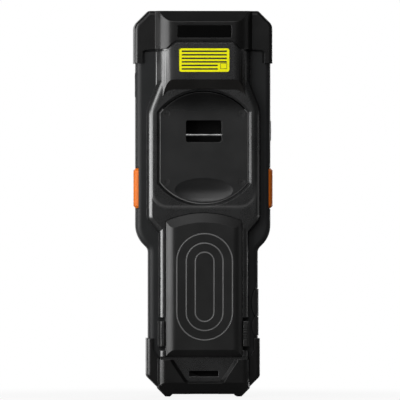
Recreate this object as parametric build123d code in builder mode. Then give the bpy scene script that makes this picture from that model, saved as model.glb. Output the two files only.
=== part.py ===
"""Rugged handheld barcode data terminal, standing upright on its bottom end.

+Z is up, +X is to the right as seen from behind, and the back faces -Y. Millimetres.
Depth is measured rearward from the middle of the thickness, so depth = -Y: the back
has positive depths and the screen and keypad have negative ones.
"""
import math
import os

from build123d import *

# ---- driving dimensions ----
LENGTH = 220.3              # bottom feet to top bumper
HALF_THICKNESS = 19.0       # bumpers, front and back
HEAD_HALF = 38.4            # half width of the head, without its bumper
GRIP_HALF = 31.2            # half width of the grip
TOP_BUMPER_HALF = 39.5
BOTTOM_BUMPER_HALF = 32.3
WALL = 1.8

# depths of the back, from the parting line outward
PARTING = -4.0
FLANK = 9.5                 # low side strips beside the ridge, saddle and rails
RAIL = 14.9                 # rails beside the battery pack, and the saddle below its lip
SADDLE = 15.2               # saddle round the rear plate
RIDGE = 18.0                # flat of the head
PACK_FLAT = 18.4
LANYARD_FLOOR = 13.5
FLANK_ROUND = 3.2           # rounding of the side edges

# depths of the front
GRIP_FACE = -15.8
BEZEL_FACE = -17.8
FRONT_WALL_INSIDE = -13.7

# battery pack and its well
PACK_HALF = 21.8
PACK_BOTTOM = 22.9
PACK_TOP = 104.8
PACK_SHOULDER = 100.2       # top corners of the pack, below the arch
PACK_EDGE = 13.5            # underside of the cover, on the ledge of the well
WELL_HALF = 20.6
WELL_Z = (25.6, 98.8)
WELL_FLOOR = 2.2
GAP = 0.3                   # play round pieces that move
CLOSE_GAP = 0.2             # play round keys and small slides

# rear plate
PLATE_Z = 142.2
PLATE_RADIUS = 32.3
PLATE_HALF = 25.4
PLATE_SEAT = 11.4
PLATE_FACE = 13.6
PLATE_SCREW_X = 21.5
PLATE_SCREW_Z = 19.5

BEYOND = 30.0               # how far cutting forms reach, clear of every piece

# screws
SCREW_RADIUS = 1.0
SCREW_HEAD_RADIUS = 1.8
BOSS_RADIUS = 2.6

# outline of the housing, right half, bottom to top
BODY_OUTLINE = [
    (22.0, 3.0),
    (GRIP_HALF, 12.2),
    (GRIP_HALF, 84.2),
    (HEAD_HALF, 91.4),
    (HEAD_HALF, 211.3),
    (32.2, 217.5),
]
WAIST_INNER = BODY_OUTLINE[2]
WAIST_OUTER = BODY_OUTLINE[3]
WAIST_INNER_ROUND = 4.0
WAIST_OUTER_ROUND = 16.0

# outlines of the bumpers, right half, bottom to top
TOP_BUMPER_OUTLINE = [
    (TOP_BUMPER_HALF, 190.4),
    (TOP_BUMPER_HALF, 212.3),
    (31.5, LENGTH),
]
BOTTOM_BUMPER_OUTLINE = [
    (17.8, 1.4),
    (19.2, 0.0),
    (20.8, 0.0),
    (BOTTOM_BUMPER_HALF, 11.5),
    (BOTTOM_BUMPER_HALF, 33.3),
]


def at_depth(depth):
    """The upright plane at a depth, facing the rear, with X right and Z up."""
    return Plane.XZ.offset(depth)


def symmetric_polygon(right_points):
    """A polygon that is the same on both sides of X = 0."""
    left_points = [(-x, z) for x, z in reversed(right_points)]
    Polygon(*right_points, *left_points, align=None)


def corners(sketch, *points):
    """The corners of a sketch at the given points and at their mirror images."""
    return [
        corner
        for corner in sketch.vertices()
        for x, z in points
        if abs(abs(corner.X) - x) < 0.01 and abs(corner.Y - z) < 0.01
    ]


def block(x_range, depth_range, z_range, mode=Mode.ADD):
    """A box between two places across, in depth and in height."""
    size = [abs(span[1] - span[0]) for span in (x_range, depth_range, z_range)]
    middle = [sum(span) / 2 for span in (x_range, depth_range, z_range)]
    with Locations((middle[0], -middle[1], middle[2])):
        Box(*size, mode=mode)


def side_block(side, x_range, depth_range, z_range, mode=Mode.ADD):
    """A box on one side: -1 is the left, 1 the right."""
    block([side * x for x in x_range], depth_range, z_range, mode=mode)


def rod(x, z, depth_range, radius, mode=Mode.ADD):
    """A round bar along the depth."""
    with Locations(Location((x, -sum(depth_range) / 2, z), (90, 0, 0))):
        Cylinder(radius, abs(depth_range[1] - depth_range[0]), mode=mode)


def save(piece, name):
    """Label a finished piece and write it as its own file."""
    piece.part.label = name
    export_step(piece.part, f"parts/{name}.step")


os.makedirs("parts", exist_ok=True)

# ---- outlines that several pieces share ----
with BuildSketch() as body_outline:
    symmetric_polygon(BODY_OUTLINE)
    fillet(corners(body_outline, WAIST_INNER), WAIST_INNER_ROUND)
    fillet(corners(body_outline, WAIST_OUTER), WAIST_OUTER_ROUND)

with BuildSketch() as cavity_outline:
    add(body_outline.sketch_local)
    offset(amount=-WALL, kind=Kind.INTERSECTION)

with BuildSketch() as pack_outline:
    with BuildLine():
        Polyline(
            (PACK_HALF, PACK_SHOULDER),
            (PACK_HALF, PACK_BOTTOM),
            (-PACK_HALF, PACK_BOTTOM),
            (-PACK_HALF, PACK_SHOULDER),
        )
        ThreePointArc((-PACK_HALF, PACK_SHOULDER), (0, PACK_TOP), (PACK_HALF, PACK_SHOULDER))
    make_face()
    fillet(corners(pack_outline, (PACK_HALF, PACK_SHOULDER)), 2.0)
    fillet(corners(pack_outline, (PACK_HALF, PACK_BOTTOM)), 1.0)

with BuildSketch() as plate_outline:
    with Locations((0, PLATE_Z)):
        Circle(PLATE_RADIUS)
        Rectangle(2 * PLATE_HALF, 2 * PLATE_RADIUS, mode=Mode.INTERSECT)

# lower edge of the top bumper on the back, and the groove that follows it in the housing
TOP_BUMPER_REAR_EDGE = [(34.8, 180.0), (34.8, 196.9), (33.6, 197.9), (22.0, 198.6), (16.6, 203.0)]
TOP_BUMPER_FOOT = TOP_BUMPER_OUTLINE[0][1]
SEAM_WIDE = 1.2
SEAM_DEEP = 1.2

# ---- outer form of the back ----
with BuildPart() as flank_form:
    with BuildSketch(at_depth(PARTING)):
        add(body_outline.sketch_local)
    extrude(amount=FLANK - PARTING)
    fillet(flank_form.faces().sort_by(Axis.Y)[0].edges(), FLANK_ROUND)

RIDGE_HALF = 26.0
RIDGE_ROUND = 9.0
RIDGE_FLARE = 60            # degrees from the flat at which the rounded edge ends in a straight skirt
SKIRT_BLEND = 1.3           # hollow rounding at the foot of the skirt
SKIRT_END = 31.0
RIDGE_FOOT = 160.0
BODY_TOP = BODY_OUTLINE[-1][1]
RIDGE_SLOPE = [(-19.0, 211.75), (-19.0, 225.0), (-8.4, 225.0)]   # (Y, Z), cut off the top end


def ridge_bar(grow, foot, top):
    """The ridge as a bar along Z, grown outward: flat top, rounded edges, flared skirts."""
    radius = RIDGE_ROUND + grow
    centre_x, centre_y = RIDGE_HALF - RIDGE_ROUND, RIDGE_ROUND - RIDGE
    arc = [
        (centre_x + radius * math.sin(angle), centre_y - radius * math.cos(angle))
        for angle in (0, math.radians(RIDGE_FLARE) / 2, math.radians(RIDGE_FLARE))
    ]
    foot_y = -FLANK - grow
    foot_x = arc[2][0] + (foot_y - arc[2][1]) / math.tan(math.radians(RIDGE_FLARE))
    with BuildPart() as bar:
        with BuildSketch(Plane.XY.offset(foot)) as section:
            with BuildLine():
                ThreePointArc(*arc)
                Polyline(
                    arc[2],
                    (foot_x, foot_y),
                    (SKIRT_END, foot_y),
                    (SKIRT_END, -PARTING),
                    (0, -PARTING),
                    (0, arc[0][1]),
                    arc[0],
                )
            make_face()
            skirt = section.vertices().sort_by_distance((foot_x, foot_y, foot))[0]
            fillet(skirt, SKIRT_BLEND - grow)
        extrude(amount=top - foot)
        mirror(about=Plane.YZ)
    return bar.part


with BuildPart() as ridge_form:
    add(ridge_bar(0, RIDGE_FOOT, BODY_TOP))
    with BuildSketch(Plane.YZ):
        Polygon(*RIDGE_SLOPE, align=None)
    extrude(amount=2 * SKIRT_END, both=True, mode=Mode.SUBTRACT)

SADDLE_DRAFT = 13.0
SADDLE_SPREAD = 1.7         # how much wider the saddle is at its foot
SADDLE_FOOT = 8.0
RIM_ROUND = 4.0             # rounding of the saddle's rim
SADDLE_OUTLINE = [
    (24.9, 94.5),
    (31.2, 102.0),
    (31.2, 163.7),
    (25.2, 179.5),
    (22.0, 186.0),          # inside the ridge
]
with BuildPart() as saddle_form:
    with BuildSketch(at_depth(SADDLE_FOOT)) as saddle_section:
        symmetric_polygon(SADDLE_OUTLINE)
        fillet(corners(saddle_section, SADDLE_OUTLINE[1]), 5.0)
        fillet(corners(saddle_section, SADDLE_OUTLINE[2]), 16.0)
        fillet(corners(saddle_section, SADDLE_OUTLINE[3]), 6.0)
        offset(amount=SADDLE_SPREAD, kind=Kind.INTERSECTION)
    extrude(amount=SADDLE - SADDLE_FOOT, taper=SADDLE_DRAFT)
    fillet(saddle_form.faces().sort_by(Axis.Y)[0].edges(), RIM_ROUND)

RAIL_HALF = 24.9
RAIL_Z = (22.0, 98.0)
RAIL_DRAFT = 7.5
RAIL_ROUND = 2.6
with BuildPart() as rail_form:
    with BuildSketch(at_depth(SADDLE_FOOT)):
        with Locations((0, sum(RAIL_Z) / 2)):
            Rectangle(2 * RAIL_HALF + 2, RAIL_Z[1] - RAIL_Z[0])
    extrude(amount=RAIL - SADDLE_FOOT, taper=RAIL_DRAFT)
    fillet(rail_form.faces().sort_by(Axis.Y)[0].edges().filter_by(Axis.Z), RAIL_ROUND)

with BuildPart() as seam_form:
    with BuildSketch(at_depth(FLANK - SEAM_DEEP)):
        symmetric_polygon(TOP_BUMPER_REAR_EDGE)
        offset(amount=-SEAM_WIDE, kind=Kind.INTERSECTION, mode=Mode.SUBTRACT)
    extrude(amount=BEYOND)
    add(ridge_bar(-SEAM_DEEP, RIDGE_FOOT, BODY_TOP), mode=Mode.SUBTRACT)
    block(
        (-LENGTH, LENGTH),
        (-BEYOND, 2 * BEYOND),
        (TOP_BUMPER_FOOT - BEYOND, TOP_BUMPER_FOOT),
        mode=Mode.SUBTRACT,
    )

# the ridge slopes down to the saddle above the rear plate
RECESS_FOOT_OUTLINE = [(28.6, 150.0), (28.6, 162.5), (21.0, 175.4)]
RECESS_MOUTH_OUTLINE = [(30.4, 150.0), (30.4, 165.7), (24.9, 182.3)]
RECESS_FOOT_ROUNDS = (1.0, 12.0, 6.0)
RECESS_MOUTH_ROUNDS = (1.0, 16.0, 7.0)
RECESS_MOUTH = 18.6
with BuildPart() as recess_form:
    for depth, outline, rounds in (
        (SADDLE, RECESS_FOOT_OUTLINE, RECESS_FOOT_ROUNDS),
        (RECESS_MOUTH, RECESS_MOUTH_OUTLINE, RECESS_MOUTH_ROUNDS),
    ):
        with BuildSketch(at_depth(depth)) as level:
            symmetric_polygon(outline)
            for corner, radius in zip(outline, rounds):
                fillet(corners(level, corner), radius)
    loft()

# the saddle steps down a little below a lip that curves round the foot of the plate
LIP_HALF = 30.4
LIP_Z = 107.6
LIP_CORNER = 10.0
LIP_REACH = (90.0, 119.0)   # heights that the step covers
with BuildPart() as lip_form:
    block((-HEAD_HALF, HEAD_HALF), (RAIL, RIDGE), LIP_REACH)
    with BuildSketch(at_depth(RAIL)) as plateau:
        symmetric_polygon([(LIP_HALF, LIP_Z), (LIP_HALF, PLATE_Z)])
        fillet(corners(plateau, (LIP_HALF, LIP_Z)), LIP_CORNER)
    extrude(amount=RIDGE - RAIL, taper=45, mode=Mode.SUBTRACT)

# ---- rear housing ----
LANYARD_HALF = 8.4
LANYARD_Z = (11.5, 14.7)
LANYARD_CHANNEL = (9.4, 12.0)
STRAP_HALF = 10.2
STRAP_Z = (145.3, 157.8)
STRAP_FLOOR = 5.6
TUB_WALL = 1.3              # walls of the strap slot, on the rear plate
TUB_FLOOR = 1.4             # floor of the battery well
LANYARD_FOOT = 9.0
SEAT_CHAMFER = 40           # degrees, round the rear plate
PLATE_BOSS_START = 6.4
SPRING_SHELF_X = (24.3, 28.2)
SPRING_SHELF_Z = (19.6, 21.0)
SPRING_SHELF_START = 3.6
TRIGGER_INNER = 34.6        # how far in the trigger openings start
SIDE_KEY_INNER = 34.0
SIDE_BEYOND = 41.0
SCAN_POCKET = ((-20.0, 20.0), (-4.0, 15.6), (184.5, 213.0))
CAVITY_ROUND = 2.4
LATCH_Z = (28.6, 43.2)
LATCH_POCKET_Z = (26.3, 45.3)
LATCH_POCKET_HALF = 26.5
LATCH_STEM_X = (24.5, 26.0)
LATCH_STEM_Z = (32.0, 39.0)
LATCH_TRAVEL = 2.0
TRIGGER_Z = (107.6, 130.5)
TRIGGER_DEPTH = (-2.5, 8.6)
POWER_Z = (146.0, 158.0)
VOLUME_Z = (170.8, 185.4)
SIDE_KEY_DEPTH = (-2.2, 3.0)
ROCKER_GAP = 0.4
PORT_Z = 53.2
PORT_HALF_Z = 4.6
PORT_DEPTH = (1.6, 5.6)
FLAP_Z = (45.9, 61.5)
STRAP_PIECE_Z = (34.9, 45.6)
FLAP_FRONT = -2.0
FLAP_CORNER = 29.6          # the flap's inner corners; its inner edge bows further inward
FLAP_BOW = 27.5
FLAP_INSET = 1.2            # depth of the seat under the skin
FLAP_PROUD = 0.4
FLAP_GAP = 0.4
STUD_DEPTH = 3.0
STUD_Z = 40.0
STUD_RADIUS = 1.2
SCAN_HALF = 14.0
SCAN_DEPTH = (2.5, 12.5)
SCAN_LEDGE = 1.0            # ledge under the edges of the scan window
SCAN_WINDOW_SEAT = 1.5      # how deep the scan window sits in the top end
TOP_SCREWS = (33.0, 203.0)
MIDDLE_SCREWS = (21.5, 136.0)
BOTTOM_SCREWS = (25.9, 17.0)
CASE_SCREW_SITES = (TOP_SCREWS, MIDDLE_SCREWS, BOTTOM_SCREWS)
SCREW_HEAD_SEAT = 6.0       # case screw heads sit in wells this deep in the back
CONTACT_OPENING = ((-8.2, 8.2), (0, WELL_FLOOR + 0.1), (85.8, 92.2))
DOCK_OPENING = ((-9.2, 9.2), (-10.2, -3.8), (-1, 8))


def grip_skin(grow):
    """The right side of the grip, grown outward, as a solid bar along Z."""
    with BuildPart() as skin:
        with BuildSketch(Plane.XY.offset(STRAP_PIECE_Z[0] - 2)) as section:
            Polygon(
                (0, -PARTING),
                (GRIP_HALF + grow, -PARTING),
                (GRIP_HALF + grow, -FLANK - grow),
                (0, -FLANK - grow),
                align=None,
            )
            outer_corner = section.vertices().sort_by(Axis.Y)[:2].sort_by(Axis.X)[-1]
            fillet(outer_corner, FLANK_ROUND + grow)
        extrude(amount=FLAP_Z[1] - STRAP_PIECE_Z[0] + 4)
    return skin.part


def flap_block(z_range, gap=0.0):
    """A bar along the depth with the flap's rear view: a lens that bows inward."""
    low, high = z_range[0] - gap, z_range[1] + gap
    outside = GRIP_HALF + 4
    with BuildPart() as bar:
        with BuildSketch(at_depth(FLAP_FRONT - gap)):
            with BuildLine():
                Polyline(
                    (FLAP_CORNER - gap, high),
                    (outside, high),
                    (outside, low),
                    (FLAP_CORNER - gap, low),
                )
                ThreePointArc(
                    (FLAP_CORNER - gap, low),
                    (FLAP_BOW - gap, (low + high) / 2),
                    (FLAP_CORNER - gap, high),
                )
            make_face()
        extrude(amount=FLANK + 4)
    return bar.part


def flap_shell(z_range):
    """A rubber skin over the seat, with the side view of a flap."""
    with BuildPart() as shell:
        add(grip_skin(FLAP_PROUD))
        add(grip_skin(-FLAP_INSET), mode=Mode.SUBTRACT)
        add(flap_block(z_range), mode=Mode.INTERSECT)
    return shell.part


with BuildPart() as flap_opening:
    add(flap_block(FLAP_Z, FLAP_GAP))
    add(flap_block(STRAP_PIECE_Z, CLOSE_GAP))

with BuildPart() as flap_seat:
    add(grip_skin(2.0))
    add(grip_skin(-FLAP_INSET), mode=Mode.SUBTRACT)
    add(flap_opening.part, mode=Mode.INTERSECT)

with BuildPart() as well_form:
    block((-WELL_HALF, WELL_HALF), (WELL_FLOOR, RIDGE), WELL_Z)
    with BuildSketch(at_depth(PACK_EDGE - CLOSE_GAP)):
        add(pack_outline.sketch_local)
        offset(amount=GAP)
    extrude(amount=RIDGE)

with BuildPart() as tub_form:
    block(
        (-WELL_HALF - WALL, WELL_HALF + WALL),
        (WELL_FLOOR - TUB_FLOOR, FLANK),
        (WELL_Z[0] - WALL, WELL_Z[1] + WALL),
    )

with BuildPart() as cavity_form:
    with BuildSketch(at_depth(PARTING)):
        add(cavity_outline.sketch_local)
    extrude(amount=FLANK - WALL - PARTING)
    fillet(cavity_form.faces().sort_by(Axis.Y)[0].edges().filter_by(Axis.Z), CAVITY_ROUND)
    block(*SCAN_POCKET)
    add(tub_form.part, mode=Mode.SUBTRACT)

with BuildPart() as lanyard_form:
    block((-RAIL_HALF, RAIL_HALF), (0, LANYARD_FLOOR), (LANYARD_FOOT, RAIL_Z[0] + 2))

# the lanyard slot opens to the back and, through a channel, to the bottom end
with BuildPart() as lanyard_slot:
    block((-LANYARD_HALF, LANYARD_HALF), (LANYARD_CHANNEL[0], BEYOND), LANYARD_Z)
    block((-LANYARD_HALF, LANYARD_HALF), LANYARD_CHANNEL, (-1, LANYARD_Z[1]))

with BuildPart() as dock_opening:
    block(*DOCK_OPENING)

with BuildPart() as rear_housing:
    add(flank_form.part)
    add(ridge_form.part)
    add(saddle_form.part)
    add(rail_form.part)
    add(lanyard_form.part)
    add(recess_form.part, mode=Mode.SUBTRACT)
    add(seam_form.part, mode=Mode.SUBTRACT)
    add(cavity_form.part, mode=Mode.SUBTRACT)
    add(well_form.part, mode=Mode.SUBTRACT)
    add(lip_form.part, mode=Mode.SUBTRACT)
    # seat of the rear plate, with a chamfered edge
    with BuildSketch(at_depth(PLATE_SEAT)):
        add(plate_outline.sketch_local)
        offset(amount=CLOSE_GAP)
    extrude(amount=PLATE_FACE - PLATE_SEAT, mode=Mode.SUBTRACT)
    with BuildSketch(at_depth(PLATE_FACE)):
        add(plate_outline.sketch_local)
        offset(amount=CLOSE_GAP)
    extrude(amount=SADDLE - PLATE_FACE + 0.1, taper=-SEAT_CHAMFER, mode=Mode.SUBTRACT)
    block(
        (-STRAP_HALF - TUB_WALL - CLOSE_GAP, STRAP_HALF + TUB_WALL + CLOSE_GAP),
        (0, PLATE_FACE),
        (STRAP_Z[0] - TUB_WALL - CLOSE_GAP, STRAP_Z[1] + TUB_WALL + CLOSE_GAP),
        mode=Mode.SUBTRACT,
    )
    # bosses of the plate screws
    for side in (-1, 1):
        for level in (-1, 1):
            place = (side * PLATE_SCREW_X, PLATE_Z + level * PLATE_SCREW_Z)
            rod(*place, (PLATE_BOSS_START, FLANK - WALL), BOSS_RADIUS)
            rod(*place, (PLATE_BOSS_START, PLATE_SEAT), SCREW_RADIUS, mode=Mode.SUBTRACT)
    # bosses and head wells of the case screws
    for side in (-1, 1):
        for x, z in CASE_SCREW_SITES:
            rod(side * x, z, (PARTING, FLANK - WALL), BOSS_RADIUS)
            rod(side * x, z, (PARTING, RIDGE), SCREW_RADIUS + 0.1, mode=Mode.SUBTRACT)
            rod(side * x, z, (SCREW_HEAD_SEAT, RIDGE), SCREW_HEAD_RADIUS + 0.1, mode=Mode.SUBTRACT)
    # pockets and slots of the battery latches
    for side in (-1, 1):
        side_block(
            side,
            (PACK_HALF + GAP, LATCH_POCKET_HALF),
            (FLANK, RIDGE),
            LATCH_POCKET_Z,
            mode=Mode.SUBTRACT,
        )
        side_block(
            side,
            (LATCH_STEM_X[0] - 0.1, LATCH_STEM_X[1] + 0.1),
            (0, FLANK),
            (LATCH_STEM_Z[0] - LATCH_TRAVEL - CLOSE_GAP, LATCH_STEM_Z[1] + CLOSE_GAP),
            mode=Mode.SUBTRACT,
        )
        side_block(side, SPRING_SHELF_X, (SPRING_SHELF_START, FLANK - WALL), SPRING_SHELF_Z)
    # openings of the scan triggers and the side keys
    for side in (-1, 1):
        side_block(
            side,
            (TRIGGER_INNER, SIDE_BEYOND),
            (TRIGGER_DEPTH[0] - CLOSE_GAP, TRIGGER_DEPTH[1] + CLOSE_GAP),
            (TRIGGER_Z[0] - GAP, TRIGGER_Z[1] + GAP),
            mode=Mode.SUBTRACT,
        )
    for side, span, gap in ((1, POWER_Z, CLOSE_GAP), (-1, VOLUME_Z, ROCKER_GAP)):
        side_block(
            side,
            (SIDE_KEY_INNER, SIDE_BEYOND),
            (SIDE_KEY_DEPTH[0] - CLOSE_GAP, SIDE_KEY_DEPTH[1] + CLOSE_GAP),
            (span[0] - gap, span[1] + gap),
            mode=Mode.SUBTRACT,
        )
    # side port with the seat of its rubber flap and of the flap's strap
    add(flap_seat.part, mode=Mode.SUBTRACT)
    block(
        (GRIP_HALF - 3, GRIP_HALF + 3),
        PORT_DEPTH,
        (PORT_Z - PORT_HALF_Z, PORT_Z + PORT_HALF_Z),
        mode=Mode.SUBTRACT,
    )
    with Locations(Location((GRIP_HALF - 2, -STUD_DEPTH, STUD_Z), (0, 90, 0))):
        Cylinder(STUD_RADIUS + 0.05, 4, mode=Mode.SUBTRACT)
    add(lanyard_slot.part, mode=Mode.SUBTRACT)
    # scan opening in the top end, with the seat of its window
    block((-SCAN_HALF, SCAN_HALF), SCAN_DEPTH, (BODY_TOP - 8, LENGTH), mode=Mode.SUBTRACT)
    block(
        (-SCAN_HALF - SCAN_LEDGE, SCAN_HALF + SCAN_LEDGE),
        (SCAN_DEPTH[0] - SCAN_LEDGE, SCAN_DEPTH[1] + SCAN_LEDGE),
        (BODY_TOP - SCAN_WINDOW_SEAT, LENGTH),
        mode=Mode.SUBTRACT,
    )
    # battery contact opening in the floor of the well
    block(*CONTACT_OPENING, mode=Mode.SUBTRACT)
    add(dock_opening.part, mode=Mode.SUBTRACT)
save(rear_housing, "rear_housing")

# ---- front housing ----
WINDOW_Z = 150.0
WINDOW_SIZE = (68.0, 104.0)
WINDOW_SEAT = -16.2
PANEL_SIZE = (60.0, 98.0)
SPEAKER_SLOTS_Z = (203.9, 205.6, 207.3)
LED_PLACE = (24.0, 205.4)
LED_RADIUS = 1.15
SPEAKER_SLOT_HALF = 4.5
SLOT_WIDE = 1.0
MICROPHONE_Z = 17.4
MICROPHONE_RADIUS = 0.6
FRONT_ROUND = 3.6
BEZEL_DRAFT = 8
BOSS_DRILL = -9.2           # depth where the screw holes end
KEY_SIZE = (11.2, 7.6)
KEY_FACE = -17.2
KEY_FLANGE = 0.7
KEY_COLUMNS = (20.4, 6.8, -6.8, -20.4)   # from left to right as the user faces the keypad
KEY_ROWS = (58.5, 48.0, 37.5, 27.0)
KEY_NAMES = (
    ("key_1", "key_2", "key_3", "back_key"),
    ("key_4", "key_5", "key_6", "tab_key"),
    ("key_7", "key_8", "key_9", "function_key"),
    ("point_key", "key_0", "minus_key", "enter_key"),
)
SCAN_KEY_Z = 79.5
SCAN_KEY_RADIUS = 6.5
ARROW_KEYS = {
    "up_key": (0.0, 90.2, 13.0, 5.0),
    "down_key": (0.0, 68.8, 13.0, 5.0),
    "left_key": (15.5, SCAN_KEY_Z, 9.0, 12.0),
    "right_key": (-15.5, SCAN_KEY_Z, 9.0, 12.0),
}

# every rectangular key: name, place across, height, width, tall
rectangular_keys = [(name, *place) for name, place in ARROW_KEYS.items()]
for names, row in zip(KEY_NAMES, KEY_ROWS):
    for name, column in zip(names, KEY_COLUMNS):
        rectangular_keys.append((name, column, row, *KEY_SIZE))

BEZEL_OUTLINE = [
    (30.0, 96.0),
    (36.2, 102.2),
    (36.2, 209.0),
    (31.0, 214.2),
]
with BuildPart() as front_form:
    with BuildSketch(at_depth(GRIP_FACE)):
        add(body_outline.sketch_local)
    extrude(amount=PARTING - GRIP_FACE)
    fillet(front_form.faces().sort_by(Axis.Y)[-1].edges(), FRONT_ROUND)
    with BuildSketch(at_depth(BEZEL_FACE)):
        symmetric_polygon(BEZEL_OUTLINE)
    extrude(amount=5.0, taper=-BEZEL_DRAFT)
    fillet(front_form.faces().sort_by(Axis.Y)[-1].edges(), 1.0)


SEAL_TALL = 1.0
SEAL_EDGES = (0.5, 1.3)     # how far inside the outline the seal's two sides run
with BuildPart() as seal_form:
    with BuildSketch(at_depth(PARTING - SEAL_TALL)):
        add(body_outline.sketch_local)
        offset(amount=-SEAL_EDGES[0], kind=Kind.INTERSECTION)
    extrude(amount=SEAL_TALL)
    with BuildSketch(at_depth(PARTING - SEAL_TALL)):
        add(body_outline.sketch_local)
        offset(amount=-SEAL_EDGES[1], kind=Kind.INTERSECTION)
    extrude(amount=SEAL_TALL, mode=Mode.SUBTRACT)
    add(dock_opening.part, mode=Mode.SUBTRACT)


with BuildPart() as front_housing:
    add(front_form.part)
    with BuildSketch(at_depth(FRONT_WALL_INSIDE)):
        add(cavity_outline.sketch_local)
    extrude(amount=PARTING - FRONT_WALL_INSIDE, mode=Mode.SUBTRACT)
    for size, start, corner in (
        (WINDOW_SIZE, WINDOW_SEAT, 3.0),
        (PANEL_SIZE, PARTING, 0.6),
    ):
        with BuildSketch(at_depth(start)):
            with Locations((0, WINDOW_Z)):
                RectangleRounded(*size, corner)
        extrude(amount=-BEYOND, mode=Mode.SUBTRACT)
    # bosses of the outer case screws
    for side in (-1, 1):
        for x, z in (TOP_SCREWS, BOTTOM_SCREWS):
            rod(side * x, z, (FRONT_WALL_INSIDE, PARTING), BOSS_RADIUS)
            rod(side * x, z, (BOSS_DRILL, PARTING), SCREW_RADIUS, mode=Mode.SUBTRACT)
    # speaker slots, microphone hole and status light
    for z in SPEAKER_SLOTS_Z:
        block(
            (-SPEAKER_SLOT_HALF, SPEAKER_SLOT_HALF),
            (-BEYOND, FRONT_WALL_INSIDE),
            (z - SLOT_WIDE / 2, z + SLOT_WIDE / 2),
            mode=Mode.SUBTRACT,
        )
    rod(0, MICROPHONE_Z, (-BEYOND, FRONT_WALL_INSIDE), MICROPHONE_RADIUS, mode=Mode.SUBTRACT)
    rod(*LED_PLACE, (-BEYOND, FRONT_WALL_INSIDE), LED_RADIUS, mode=Mode.SUBTRACT)
    # key openings
    with BuildSketch(at_depth(FRONT_WALL_INSIDE)):
        for _, x, z, width, tall in rectangular_keys:
            with Locations((x, z)):
                RectangleRounded(width + 2 * CLOSE_GAP, tall + 2 * CLOSE_GAP, 2.0)
        with Locations((0, SCAN_KEY_Z)):
            Circle(SCAN_KEY_RADIUS + CLOSE_GAP)
    extrude(amount=-5, mode=Mode.SUBTRACT)
    add(dock_opening.part, mode=Mode.SUBTRACT)
    add(seal_form.part, mode=Mode.SUBTRACT)
save(front_housing, "front_housing")

with BuildPart() as housing_seal:
    add(seal_form.part)
save(housing_seal, "housing_seal")

# ---- bumpers ----
NAMEPLATE_SIZE = (31.1, 7.3)
NAMEPLATE_Z = 208.5
NAMEPLATE_THICK = 0.4
TOP_BUMPER_SLOPE = [(-20.0, 212.75), (-20.0, 230.0), (-6.2, 230.0)]   # (Y, Z)
TOP_BUMPER_FRONT_EDGE = [(34.0, 180.0), (34.0, 206.0), (30.5, 209.5)]
BUMPER_SKIN = 1.1           # rubber over the flanks
BUMPER_ROUND = 2.2
with BuildPart() as top_bumper:
    with BuildSketch(at_depth(-HALF_THICKNESS)) as slab:
        symmetric_polygon([(TOP_BUMPER_HALF, 180.0), *TOP_BUMPER_OUTLINE[1:]])
        fillet(corners(slab, TOP_BUMPER_OUTLINE[1]), 6.0)
    extrude(amount=HALF_THICKNESS + FLANK + BUMPER_SKIN)
    fillet(top_bumper.faces().sort_by(Axis.Y)[0].edges(), BUMPER_ROUND)
    fillet(top_bumper.faces().sort_by(Axis.Y)[-1].edges(), 3.4)
    add(ridge_bar(HALF_THICKNESS - RIDGE, TOP_BUMPER_FOOT, LENGTH))
    # the back slopes forward towards the top end
    with BuildSketch(Plane.YZ):
        Polygon(*TOP_BUMPER_SLOPE, align=None)
    extrude(amount=TOP_BUMPER_HALF, both=True, mode=Mode.SUBTRACT)
    # lower edges
    with BuildSketch(at_depth(PARTING)):
        symmetric_polygon(TOP_BUMPER_REAR_EDGE)
    extrude(amount=BEYOND, mode=Mode.SUBTRACT)
    with BuildSketch(at_depth(PARTING)):
        symmetric_polygon(TOP_BUMPER_FRONT_EDGE)
    extrude(amount=-BEYOND, mode=Mode.SUBTRACT)
    block(
        (-LENGTH, LENGTH),
        (-BEYOND, BEYOND),
        (TOP_BUMPER_FOOT - BEYOND, TOP_BUMPER_FOOT),
        mode=Mode.SUBTRACT,
    )
    for form in (flank_form, ridge_form, front_form):
        add(form.part, mode=Mode.SUBTRACT)
    # scan opening, wider than the window's clear part
    block(
        (-SCAN_HALF - SCAN_LEDGE - CLOSE_GAP, SCAN_HALF + SCAN_LEDGE + CLOSE_GAP),
        (SCAN_DEPTH[0] - SCAN_LEDGE - CLOSE_GAP, SCAN_DEPTH[1] + SCAN_LEDGE - CLOSE_GAP),
        (BODY_TOP, LENGTH + 1),
        mode=Mode.SUBTRACT,
    )
    with BuildSketch(at_depth(HALF_THICKNESS - NAMEPLATE_THICK)):
        with Locations((0, NAMEPLATE_Z)):
            RectangleRounded(*NAMEPLATE_SIZE, 1.0)
    extrude(amount=2, mode=Mode.SUBTRACT)
save(top_bumper, "top_bumper")

BOTTOM_BUMPER_FRONT = -17.4
BULK = 16.4
BOTTOM_BUMPER_REAR_EDGE = [(18.2, 21.2), (25.7, 21.2), (29.0, 27.0), (29.0, 45.0)]
BOTTOM_BUMPER_FRONT_EDGE = [(24.0, 14.0), (29.0, 20.0), (29.0, 45.0)]
FOOT_RELIEF = [(19.2, -1.0), (19.2, 0.0), (17.8, 1.4)]
LOWER_SLOPE = [(-17.0, 8.75), (-17.0, -1.0), (-9.2, -1.0)]   # (Y, Z), under the lanyard floor
BULK_OUTLINE = [(21.8, 0.0), (26.6, 4.8), (26.6, 30.0)]
BULK_ROUND = 4.2
LANYARD_NOTCH = [(9.7, 9.3), (17.3, 21.0), (17.3, 30.0)]
NOTCH_SLOPE = 34            # degrees from the depth axis
NOTCH_ROUND = 2.0
with BuildPart() as bulk_form:
    with BuildSketch(at_depth(FLANK - 2)):
        symmetric_polygon(BULK_OUTLINE)
    extrude(amount=BULK - FLANK + 2, taper=7)
    fillet(bulk_form.faces().sort_by(Axis.Y)[0].edges(), BULK_ROUND)

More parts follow.
